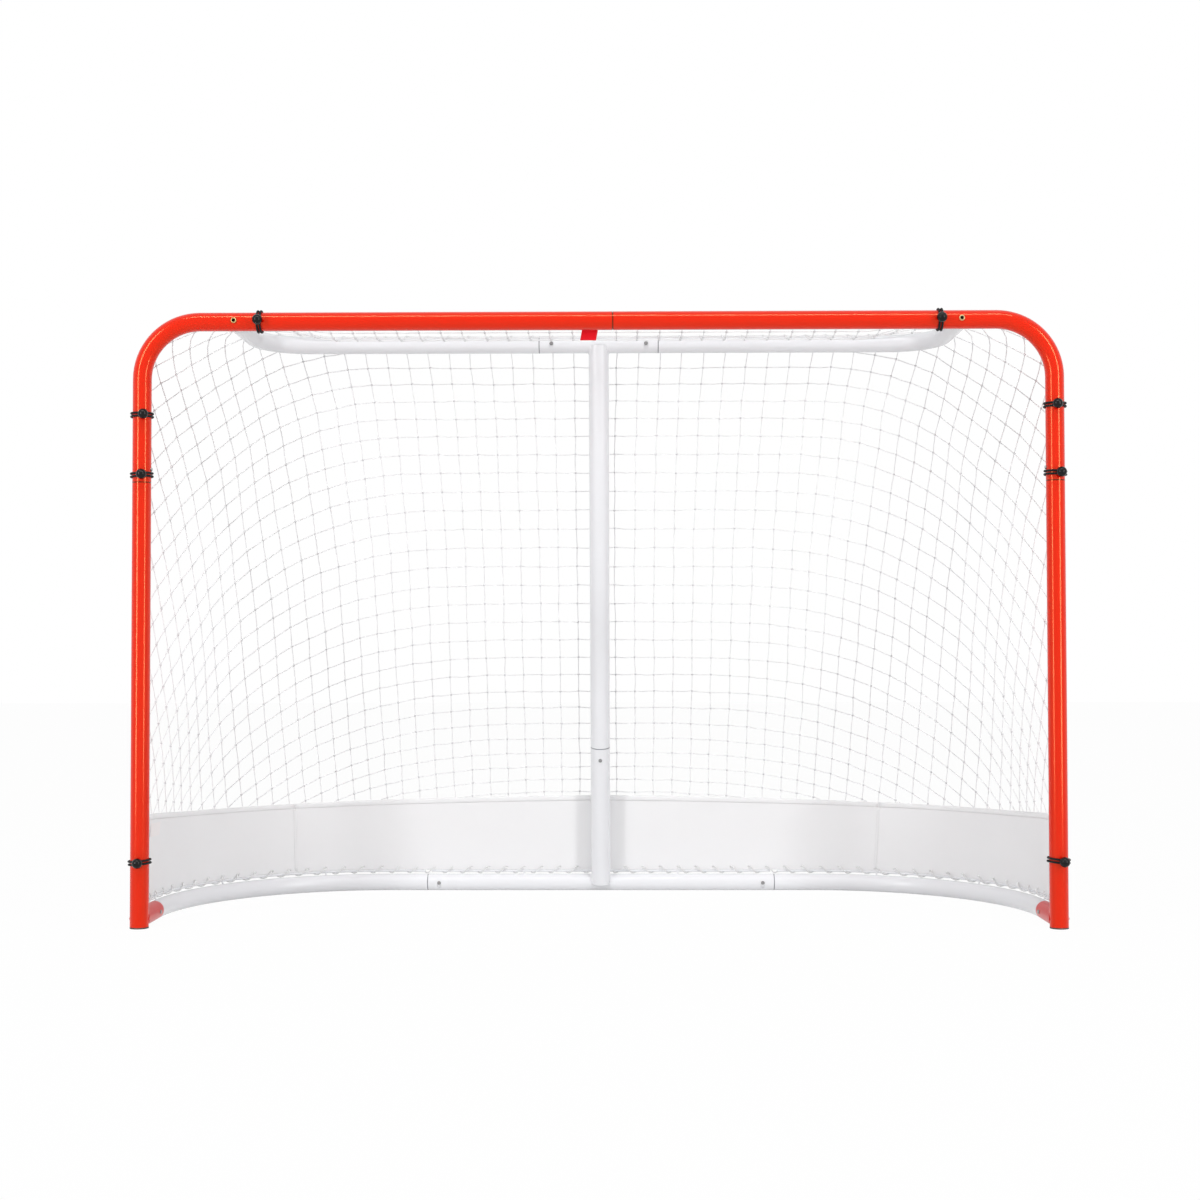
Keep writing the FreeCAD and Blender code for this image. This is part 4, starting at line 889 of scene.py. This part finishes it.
def roof_place(spot):
    """A point of the roof. It sags between the crossbar and where it rests on the shelf tube."""
    x, y = spot
    across = min(1.0, (y - EDGE_Y) / (REST_Y - EDGE_Y))
    along = min(1.0, max(0.0, (SAG_ENDS - abs(x)) / SAG_FADES))
    depth = TOP_SAG * 4 * across * (1 - across) * along * along * (3 - 2 * along)
    return np.array((x, y, NET_TOP + TWINE_R - depth))


def roof_twine(a, b):
    """Adds one twine of the roof, cut at its outline."""
    left_over = trim(a, b, in_roof)
    if left_over is not None:
        ends, cut = left_over
        middle = roof_place((ends[0] + ends[1]) / 2)
        top_net.add_twine((a, b), [roof_place(end) for end in ends], middle, cut)


roof_step = (TOP_BACK - EDGE_Y) / TOP_ROWS
roof_columns = [MIDDLE_SHIFT + ROOF_MESH * c + uneven() for c in ROOF_COLUMNS]
for c, x in enumerate(roof_columns):
    for r in range(TOP_ROWS + 1):
        y = EDGE_Y + r * roof_step
        if c + 1 < len(roof_columns) and 0 < r < TOP_ROWS:
            roof_twine((x, y), (roof_columns[c + 1], y))
        if r < TOP_ROWS:
            roof_twine((x, y), (x, y + roof_step))
roof = apply_tree("top_netting", top_net, twine_tree, **TWINE_VALUES)
stand_for(roof, "net_twine", "top_net")
half_front = top_x + top_radius
front_run = [(x, EDGE_Y, NET_TOP) for x in np.linspace(-half_front, half_front, 30)]
make_cord("top_net_border", Lines(front_run), BORDER_R, twine, "net_twine")

# %% [markdown]
# ## The skirt
#
# The skirt is coated fabric in three panels, each sewn to the next with a narrow lap. A hem runs
# along its top, and its lower edge has a punched hole for each turn of the lacing. That is why
# the lacing's line comes first: a cord that winds round the rod on the base, in one stretch along
# the back and one round the corner on each side.

# %% The lacing's line
LACE_CORD_R = 1.5
LACE_R = 7.2
LACE_GAP = 6.0
LACE_PITCH = 42.0
LACE_ABOVE = 2.8
SOCKET_LENGTH = 45.0
BUTTON_X = BASE_JOINT_X - 27.0
LACE_OUT = ROD_OUT - LACE_ABOVE * math.sin(LEAN)
LACE_UP = ROD_UP + LACE_ABOVE * math.cos(LEAN)
LACE_START = UPRIGHT_R + LACE_CORD_R + LACE_GAP
CORNER_LENGTH = BASE_BEND * math.pi / 2
BACK_LENGTH = POST_X - BASE_BEND - LACE_START
BACK_TURNS = round(BACK_LENGTH / LACE_PITCH)
FRONT_LENGTH = CORNER_LENGTH + BASE_DEPTH - BASE_BEND - SOCKET_LENGTH - LACE_GAP
FRONT_TURNS = round(FRONT_LENGTH / LACE_PITCH)
# The turns are set so that the cord is behind the rod where the base has its button.
BACK_PHASE = -2 * math.pi * BACK_TURNS * (BUTTON_X - LACE_START) / BACK_LENGTH
LACES = {"back": (BACK_LENGTH, BACK_TURNS, BACK_PHASE),
         "corner": (FRONT_LENGTH, FRONT_TURNS, BACK_PHASE + 2 * math.pi * BACK_TURNS)}


def around(angle):
    """The direction at an angle from +X towards +Y."""
    return np.array((math.cos(angle), math.sin(angle), 0.0))


def base_frame(stretch, s):
    """The base tube's centre and outward direction, a distance along a stretch of lacing."""
    corner = np.array((POST_X - BASE_BEND, BASE_DEPTH - BASE_BEND, BASE_Z))
    if stretch == "back":
        return np.array((LACE_START + s, BASE_DEPTH, BASE_Z)), around(math.pi / 2)
    if s > CORNER_LENGTH:
        return corner + (BASE_BEND, CORNER_LENGTH - s, 0.0), around(0.0)
    out = around(math.pi / 2 - s / BASE_BEND)
    return corner + out * BASE_BEND, out


def lace_point(stretch, turn, wide=0.0):
    """A point of the lacing after some turns."""
    length, turns, phase = LACES[stretch]
    centre, out = base_frame(stretch, length * turn / turns)
    psi = phase + 2 * math.pi * turn
    radius = LACE_R + wide
    return centre + out * (LACE_OUT + radius * math.cos(psi)) + (0, 0, LACE_UP + radius * math.sin(psi))


def hole_places():
    """Where the lacing goes through the skirt on the right half: at the top of each turn."""
    found = []
    for stretch, (length, turns, phase) in LACES.items():
        first = math.ceil((phase - math.pi / 2) / (2 * math.pi))
        for k in range(first, first + turns + 1):
            turn = (math.pi / 2 + 2 * math.pi * k - phase) / (2 * math.pi)
            if 0 <= turn <= turns:
                found.append(lace_point(stretch, turn))
    return found


holes = hole_places()
print("eyelets on each half", len(holes))

# %% [markdown]
# Each panel is a grid on the wall surface. Its columns are close together, so that a hole is a
# real round hole: the faces inside it are left out, and the points round it are moved onto a
# circle. The skirt is lower at the corners than in the middle, so its rows come down with its top
# edge, except for the lowest ones, where the holes are.

# %% Points of the skirt
TO_POST = math.inf
PANELS = {"left": (-TO_POST, -SEAM_LEFT), "centre": (-SEAM_LEFT, SEAM_RIGHT),
          "right": (SEAM_RIGHT, TO_POST)}
LACED_HEIGHT = 15.0
LEVEL_HEIGHT = 20.0
LOOSE_FROM = 1050.0
LOOSE_OVER = 220.0
# Each wave of the cloth: its depth, its pace along the wall and upwards, and where it starts.
LONG_WAVE = (0.4, 61, 90, 0.0)
SHORT_WAVE = (0.28, 23, -35, 1.3)
FOLDS = (0.9, 13, 17, 0.0)


def lowered(height, s):
    """A height on the skirt, brought down with its top edge. The lowest part stays as it is."""
    return height - skirt_drop(s) * max(0.0, (height - LEVEL_HEIGHT) / (SKIRT_HEIGHT - LEVEL_HEIGHT))


def wave(s, height, depth, along, up, start):
    """One wave of the cloth, outwards."""
    return depth * math.sin(s / along + height / up + start)


def ripple(s, height):
    """Soft unevenness of the cloth, outwards, more towards the posts and none where it is held."""
    if height <= LACED_HEIGHT:
        return 0.0
    hang = math.sin(math.pi * min(1.0, height / SKIRT_HEIGHT))
    near_post = min(1.0, max(0.0, (abs(s) - LOOSE_FROM) / LOOSE_OVER))
    slow = wave(s, height, *LONG_WAVE) + wave(s, height, *SHORT_WAVE)
    return hang * (slow + near_post * wave(s, height, *FOLDS))


def end_along(z, angle):
    """How far along the wall a panel ends: at the post, or at a seam's angle of the corner."""
    t = min(3.0, 1 + abs(angle) / wall_turn(z))
    return math.copysign(np.interp(t, range(4), np.cumsum((0.0, *wall_lengths(z)))), angle)


def skirt_along(name, share, height):
    """How far along the wall a share of a panel's width is, at a height on the skirt."""
    start, end = [end_along(SKIRT_BOTTOM + height, angle) for angle in PANELS[name]]
    return start + (end - start) * share


def skirt_point(s, height, out=0.0):
    """A point of the skirt, a distance along the wall and moved outwards."""
    z = SKIRT_BOTTOM + lowered(height, s)
    t = min(3.0, wall_station(z, abs(s)))
    return flip(wall_point(t, z, out + ripple(s, height)), s)


def seam_point(side, angle, height, across, out):
    """A point near a seam, some way across it and moved outwards."""
    x, y, radius = wall_corner(SKIRT_BOTTOM + height)
    s = x + radius * angle
    z = SKIRT_BOTTOM + lowered(height, s)
    return flip(on_corner(z, angle + across / radius, out + ripple(side * s, height)), side)


# %% The skirt's panels
HOLE_R = 3.2
HOLE_INNER = HOLE_R * 0.62
HOLE_OUTER = HOLE_R + 0.7
SKIRT_COLUMN = 2.6
VINYL = 0.9
LOW_ROWS = list(np.arange(0, LACED_HEIGHT + 0.1, 1.5))
SKIRT_ROWS = LOW_ROWS + [20, 28, 38, 50, 64, 80, 96, 112, 128, 142, 154, 162, 165, 168, 173, 178.5]


def make_cloth(name, grid, flat, thickness, material):
    """A thin cloth through a grid of drawn points. flat holds each point's place on the cloth."""
    shape = bmesh.new()
    uv = shape.loops.layers.uv.new("flat")
    made = {key: shape.verts.new(place(*point)) for key, point in grid.items()}
    for i, j in grid:
        keys = [(i, j), (i + 1, j), (i + 1, j + 1), (i, j + 1)]
        if all(key in made for key in keys):
            face = shape.faces.new([made[key] for key in keys])
            face.smooth = True
            for loop, key in zip(face.loops, keys):
                loop[uv].uv = (flat[key][0] / 1000, flat[key][1] / 1000)
    bmesh.ops.delete(shape, geom=[v for v in shape.verts if not v.link_faces], context="VERTS")
    mesh = bpy.data.meshes.new(name)
    shape.to_mesh(mesh)
    shape.free()
    mesh.materials.append(material)
    cloth = new_object(name, mesh)
    wall = cloth.modifiers.new("thickness", "SOLIDIFY")
    wall.thickness = thickness / 1000
    wall.offset = 0.0
    print(name, "faces", len(mesh.polygons))
    return cloth


def punch_holes(grid):
    """Takes the points inside the holes out of a grid, and moves those round them onto a circle."""
    low = [key for key in grid if key[1] < len(LOW_ROWS)]
    points = np.array([grid[key] for key in low])
    for hole in [flip(hole, side) for side in (1, -1) for hole in holes]:
        reach = np.linalg.norm(points - hole, axis=1)
        for k in np.flatnonzero(reach < HOLE_OUTER):
            if reach[k] < HOLE_INNER:
                del grid[low[k]]
            else:
                grid[low[k]] = hole + (points[k] - hole) * (HOLE_R / reach[k])


def panel_width(name, height):
    """A panel's width at a height on the skirt."""
    return skirt_along(name, 1, height) - skirt_along(name, 0, height)


def build_panel(name):
    """One panel as a grid with its holes cut."""
    columns = int(panel_width(name, 0) / SKIRT_COLUMN)
    grid, flat = {}, {}
    for i in range(columns + 1):
        for j, height in enumerate(SKIRT_ROWS):
            s = skirt_along(name, i / columns, height)
            grid[i, j] = skirt_point(s, height)
            flat[i, j] = (s, height)
    punch_holes(grid)
    return make_cloth("skirt_" + name, grid, flat, VINYL, vinyl)


skirt_panels = {name: build_panel(name) for name in PANELS}
flat_widths = {name: (panel_width(name, 0) + panel_width(name, SKIRT_HEIGHT)) / 2 for name in PANELS}
print("flat widths", {name: round(width) for name, width in flat_widths.items()})

# %% [markdown]
# The hem at the top is a folded strip with a row of stitches, and each seam is a narrow lap with
# two rows. A stitch is a small rounded copy set along a line, which the stitch tree lays out.

# %% Hem, seams and stitches
HEM = 13.0
HEM_STEP = 14
HEM_HEIGHTS = [SKIRT_HEIGHT - down for down in (HEM, HEM * 0.66, HEM * 0.33, 0.4)]
HEM_STITCH_HEIGHT = SKIRT_HEIGHT - HEM + 1.6
LAP = 7.0
LAP_STITCHES = 2.2
STRIP = 0.3
STRIP_IN = -0.5
STITCH_IN = -0.8
SEAMS = {"left": (-1, SEAM_LEFT), "right": (1, SEAM_RIGHT)}


def panel_point(name, share, height, out):
    """A point over a panel, by the share of its width and its height."""
    return skirt_point(skirt_along(name, share, height), height, out)


def strip(name, rows, thickness, material):
    """A thin strip through rows of drawn points, mapped by how far out and how high they are."""
    grid = {(i, j): point for i, row in enumerate(rows) for j, point in enumerate(row)}
    flat = {key: (2 * math.hypot(p[0], p[1]), p[2]) for key, p in grid.items()}
    return make_cloth(name, grid, flat, thickness, material)


def build_hem(name):
    """The folded strip along the top of a panel."""
    count = int(flat_widths[name] / HEM_STEP)
    rows = [[panel_point(name, i / count, height, STRIP_IN) for height in HEM_HEIGHTS]
            for i in range(count + 1)]
    return strip("skirt_hem_" + name, rows, STRIP, vinyl)


def build_lap(name):
    """The narrow lap over a seam."""
    across_lap = np.linspace(-LAP / 2, LAP / 2, 4)
    rows = [[seam_point(*SEAMS[name], height, across, STRIP_IN) for across in across_lap]
            for height in np.linspace(4, SKIRT_HEIGHT - HEM - 1, 24)]
    return strip("skirt_lap_" + name, rows, STRIP, vinyl)


hems = {name: build_hem(name) for name in PANELS}
laps = {name: build_lap(name) for name in SEAMS}

stitches = Lines()
for name in PANELS:
    stitches.add_run([panel_point(name, share, HEM_STITCH_HEIGHT, STITCH_IN)
                      for share in np.linspace(0.002, 0.998, 80)])
for side, angle in SEAMS.values():
    for across in (-LAP_STITCHES, LAP_STITCHES):
        stitches.add_run([seam_point(side, angle, height, across, STITCH_IN)
                          for height in np.linspace(5, SKIRT_HEIGHT - HEM - 2, 40)])
stitching = apply_tree("skirt_stitches", stitches, stitch_tree, Spacing=0.0042, Size_X=0.00035,
                       Size_Y=0.00035, Size_Z=0.0016, Material=thread)
stand_for(stitching, "skirt_vinyl")

for name, panel in skirt_panels.items():
    going = [strips[name] for strips in (hems, laps) if name in strips]
    stand_for(panel, "skirt_vinyl", "skirt_" + name + "_panel")
    for piece in going:
        stand_for(piece, "skirt_vinyl")

# %% [markdown]
# ## The lacing
#
# A white cord winds round the thin rod on the base and through the skirt's holes. Each turn is
# a little wider or tighter than the last, as cord pulled by hand is. The cord is wound from end
# to end, so it is no free cord.

# %% The lacing
LOOSEST = 0.45
TURN_POINTS = 14
lace_random = random.Random(5)
for side, side_name in ((1, "right"), (-1, "left")):
    for stretch, (length, turns, phase) in LACES.items():
        looseness = [lace_random.uniform(0.0, LOOSEST) for k in range(turns + 2)]
        points = []
        for k in range(turns * TURN_POINTS + 1):
            turn = k / TURN_POINTS
            wide = np.interp(turn, range(turns + 2), looseness)
            points.append(flip(lace_point(stretch, turn, wide), side))
        name = "base_lacing_" + side_name + "_" + stretch
        make_cord(name + "_cord", Lines(points), LACE_CORD_R, lace_cord, "lacing_cord", name)

# %% [markdown]
# ## The ball ties
#
# Each tie is a loop of elastic cord with a ball on it. The cord's two ends are held in the ball.
# The doubled cord goes round the tube, and the loop at its end is slipped over the ball, whose
# neck then sits in it. The two strands lie close together on one side and apart on the other.

# %% The ties' cords
TIE_CORD_R = 2.2
TIE_R = TUBE_R + SOFT_GAP + 2.25
TIE_HEIGHTS = {"left": {"top": 1046.5, "middle": 923.5, "low": 134.0},
               "right": {"top": 1062.25, "middle": 923.5, "low": 137.0}}
TIE_TILTS = {"top": 0.0, "middle": 2.0, "low": 5.0}
TIE_TURNS = {"left": {"top": 18.0, "middle": 12.0, "low": 5.0},
             "right": {"top": -2.0, "middle": 11.0, "low": 10.0}}
CROSSBAR_TIE_X = {"left": 692.0, "right": 700.0}
FIRST_ANGLE = math.radians(-84)
LAST_ANGLE = math.radians(258)
STRAND_HALF = 3.2
STRAND_SPREAD = 0.75


def tie_half(angle):
    """Half the distance between the strands: close on the +X side, apart on the -X side."""
    apart = 0.5 - 0.5 * math.cos(angle - FIRST_ANGLE)
    share = (angle - FIRST_ANGLE) / (LAST_ANGLE - FIRST_ANGLE)
    return STRAND_HALF + STRAND_SPREAD * math.sin(math.pi * share) * (apart - 0.4)


def tie_line():
    """The centre line of a tie's cord, about the tube's axis."""
    strand = [TIE_R * around(a) + (0, 0, tie_half(a)) for a in np.linspace(FIRST_ANGLE, LAST_ANGLE, 44)]
    end, ahead = TIE_R * around(LAST_ANGLE), around(LAST_ANGLE + math.pi / 2)
    half = tie_half(LAST_ANGLE)
    loop = [end + ahead * half * math.cos(b) + (0, 0, half * math.sin(b))
            for b in np.linspace(math.pi / 2, -math.pi / 2, 12)[1:-1]]
    return strand + loop + [point * (1, 1, -1) for point in strand[::-1]]


def tie_places():
    """Each tie's name and its place as a matrix, in millimetres."""
    found = {}
    for side, name in ((-1, "left"), (1, "right")):
        for level, height in TIE_HEIGHTS[name].items():
            turn = (Matrix.Rotation(math.radians(side * TIE_TILTS[level]), 4, "Y")
                    @ Matrix.Rotation(math.radians(TIE_TURNS[name][level]), 4, "Z"))
            found[name + "_post_" + level] = Matrix.Translation((side * POST_X, 0, height)) @ turn
        found[name + "_crossbar"] = (Matrix.Translation((side * CROSSBAR_TIE_X[name], 0, CROSSBAR_Z))
                                     @ Matrix.Rotation(math.pi / 2, 4, "Y"))
    return found


line_of_tie = tie_line()
for name, where in tie_places().items():
    cord_line = Lines([where @ Vector(point) for point in line_of_tie])
    make_cord(name + "_elastic", cord_line, TIE_CORD_R, elastic, "tie_elastic", name + "_tie_cord")

# %% [markdown]
# ## The red tab
#
# A small tab of plain red tape hangs behind the crossbar. It is a thin sheet with a slight curl.

# %% The red tab
TAG_X, TAG_WIDTH, TAG_LENGTH, TAG_SLANT = -9.0, 33.0, 58.0, -10.0
TAG_TOP = NET_TOP + 2.5
TAG_Y = EDGE_Y - 1.0
TAG_THICKNESS = 1.0
CURL_ACROSS = 0.9
CURL_DOWN = 0.8


def tag_point(down, across):
    """A point of the tab, by the share of its length and of its width."""
    x = TAG_X - TAG_WIDTH / 2 + TAG_WIDTH * across + TAG_SLANT * down
    curl = CURL_ACROSS * math.sin(math.pi * across) * down + CURL_DOWN * math.sin(2.2 * math.pi * down)
    return x, TAG_Y - curl, TAG_TOP - TAG_LENGTH * down


tag_rows = [[tag_point(i / 10, j / 8) for j in range(9)] for i in range(11)]
tag = strip("red_tab", tag_rows, TAG_THICKNESS, tag_fabric)
stand_for(tag, "tag_fabric", "red_tag")

# %% [markdown]
# ## The welds
#
# The sockets are welded to the posts, and the upright to the base and the shelf. A weld bead is a
# line of overlapping ripples, laid by the weld tree along the line where two tubes meet.

# %% The welds
LOWEST_BEAD = 2.4
LONGEST_STEP = 6.0
FEWEST_POINTS = 5
BEAD_R = TUBE_R + 0.3
foot = Vector((0, FOOT_Y, BASE_Z))
head = Vector((0, SHELF_DEPTH - (UPRIGHT_R - TUBE_R + SOFT_GAP) / math.cos(LEAN), CROSSBAR_Z))
stem = (head - foot).normalized()


def socket_line(side):
    """The line on a socket where it meets its post, which is as thick as the socket."""
    angles = np.linspace(0, 2 * math.pi, 61)
    return [Vector((side * POST_X + TUBE_R * math.cos(a), TUBE_R * abs(math.sin(a)),
                    BASE_Z + TUBE_R * math.sin(a))) for a in angles]


def upright_line(start, direction, bar):
    """The line on the upright where it meets a bar that runs along X."""
    cross = Vector((1, 0, 0))
    other = direction.cross(cross)
    line = []
    for angle in np.linspace(0, 2 * math.pi, 73):
        base = start + cross * (UPRIGHT_R * math.cos(angle)) + other * (UPRIGHT_R * math.sin(angle))
        away = (base - bar).yz
        b = away.dot(direction.yz)
        inside = b * b - away.length_squared + BEAD_R ** 2
        if inside >= 0:
            line.append(base + direction * (math.sqrt(inside) - b))
    return line


def add_bead(beads, line):
    """Adds one bead's line, in stretches: nothing near the floor, and no jump from end to end."""
    stretch = []
    for point in line + [None]:
        low = point is None or point.z < LOWEST_BEAD
        if low or (stretch and (point - stretch[-1]).length > LONGEST_STEP):
            if len(stretch) >= FEWEST_POINTS:
                beads.add_run(stretch)
            stretch = []
        if not low:
            stretch.append(point)


WELDS = {"red": (socket_paint, [socket_line(-1), socket_line(1)]),
         "white": (white_paint, [upright_line(foot, stem, Vector((0, BASE_DEPTH, BASE_Z))),
                                 upright_line(head, -stem, Vector((0, SHELF_DEPTH, CROSSBAR_Z)))])}
for color, (paint, weld_lines) in WELDS.items():
    beads = Lines()
    for line in weld_lines:
        add_bead(beads, line)
    bead = apply_tree(color + "_weld_beads", beads, weld_tree, Spacing=0.0021, Size_X=0.0018,
                      Size_Y=0.0018, Size_Z=0.0021, Material=paint)
    stand_for(bead, color + "_paint")

# %% [markdown]
# ## Floor, backdrop and light
#
# The goal stands on white, as in a catalogue picture. The floor is a plain white sheet that adds
# its own white for the camera, so that only a trace of the goal's shadow is left. The world is
# white to the camera too, and lights the goal more from behind than from in front, and less from
# above. Two tall narrow lamps to the left and right of the camera draw the long streaks on each
# post, and a long narrow one above draws the streak on the crossbar.

# %% Floor and world
FLOOR_HALF = 15.0
FLOOR_WHITE = 0.975
WHITE = (1, 1, 1, 1)


def clear_tree(owner):
    """The emptied node tree of a material or a world."""
    owner.use_nodes = True
    owner.node_tree.nodes.clear()
    return owner.node_tree


def seen_by(tree, *rays):
    """One for some kinds of ray and zero for all others."""
    path = tree.nodes.new("ShaderNodeLightPath")
    seen = path.outputs["Is Camera Ray"]
    for ray in rays:
        seen = calculate(tree, "MAXIMUM", seen, path.outputs[ray])
    return seen


def end_surface(tree, kind, factor, a, b):
    """Sends the mix of two shaders to the tree's output."""
    mixed = add_node(tree, "ShaderNodeMixShader", factor, a.outputs[0], b.outputs[0])
    add_node(tree, kind, mixed.outputs[0])


floor_mesh = bpy.data.meshes.new("floor")
corners = [(x * FLOOR_HALF, y * FLOOR_HALF, 0) for x, y in ((-1, -1), (1, -1), (1, 1), (-1, 1))]
floor_mesh.from_pydata(corners, [], [(0, 1, 2, 3)])
floor = new_object("floor", floor_mesh)
floor_material = bpy.data.materials.new("white_floor")
floor_mesh.materials.append(floor_material)
tree = clear_tree(floor_material)
matt = add_node(tree, "ShaderNodeBsdfDiffuse", Color=(0.82, 0.82, 0.82, 1))
glow = add_node(tree, "ShaderNodeEmission", Color=WHITE, Strength=1.0)
share = calculate(tree, "MULTIPLY", seen_by(tree, "Is Glossy Ray"), FLOOR_WHITE)
end_surface(tree, "ShaderNodeOutputMaterial", share, matt, glow)

world = bpy.data.worlds.new("studio")
bpy.context.scene.world = world
tree = clear_tree(world)
direction = add_node(tree, "ShaderNodeTexCoord").outputs["Generated"]
parts = add_node(tree, "ShaderNodeSeparateXYZ", direction)
ahead = add_node(tree, "ShaderNodeMapRange", Value=parts.outputs[1], From_Min=-1.0, From_Max=1.0,
                 To_Min=0.46, To_Max=0.72)
above = add_node(tree, "ShaderNodeMapRange", Value=parts.outputs[2], From_Min=0.0, From_Max=1.0,
                 To_Min=1.0, To_Max=0.5)
level = calculate(tree, "MULTIPLY", ahead.outputs[0], above.outputs[0])
ambient = add_node(tree, "ShaderNodeBackground", Color=WHITE, Strength=level)
white = add_node(tree, "ShaderNodeBackground", Color=WHITE, Strength=1.0)
seen = seen_by(tree, "Is Glossy Ray", "Is Transmission Ray")
end_surface(tree, "ShaderNodeOutputWorld", seen, ambient, white)
print("floor", 2 * FLOOR_HALF, "m wide")

# %% Lamps
AIM = Vector((0.0, 0.0, 0.6))


def soft_lamp(name, where, size, power):
    """A rectangular soft lamp that faces the goal."""
    data = bpy.data.lights.new(name, "AREA")
    data.shape = "RECTANGLE"
    data.size, data.size_y = size
    data.energy = power
    lamp = new_object(name, data)
    lamp.location = where
    lamp.rotation_euler = (AIM - Vector(where)).to_track_quat("-Z", "Y").to_euler()


soft_lamp("left_strip", (-2.7, -2.7, 1.3), (0.5, 3.0), 54)
soft_lamp("right_strip", (2.7, -2.7, 1.3), (0.5, 3.0), 54)
soft_lamp("top_strip", (0.0, -1.9, 3.8), (4.0, 0.22), 52)
print("lamps", len(bpy.data.lights))

# %% View
bpy.context.scene.view_settings.view_transform = "Standard"
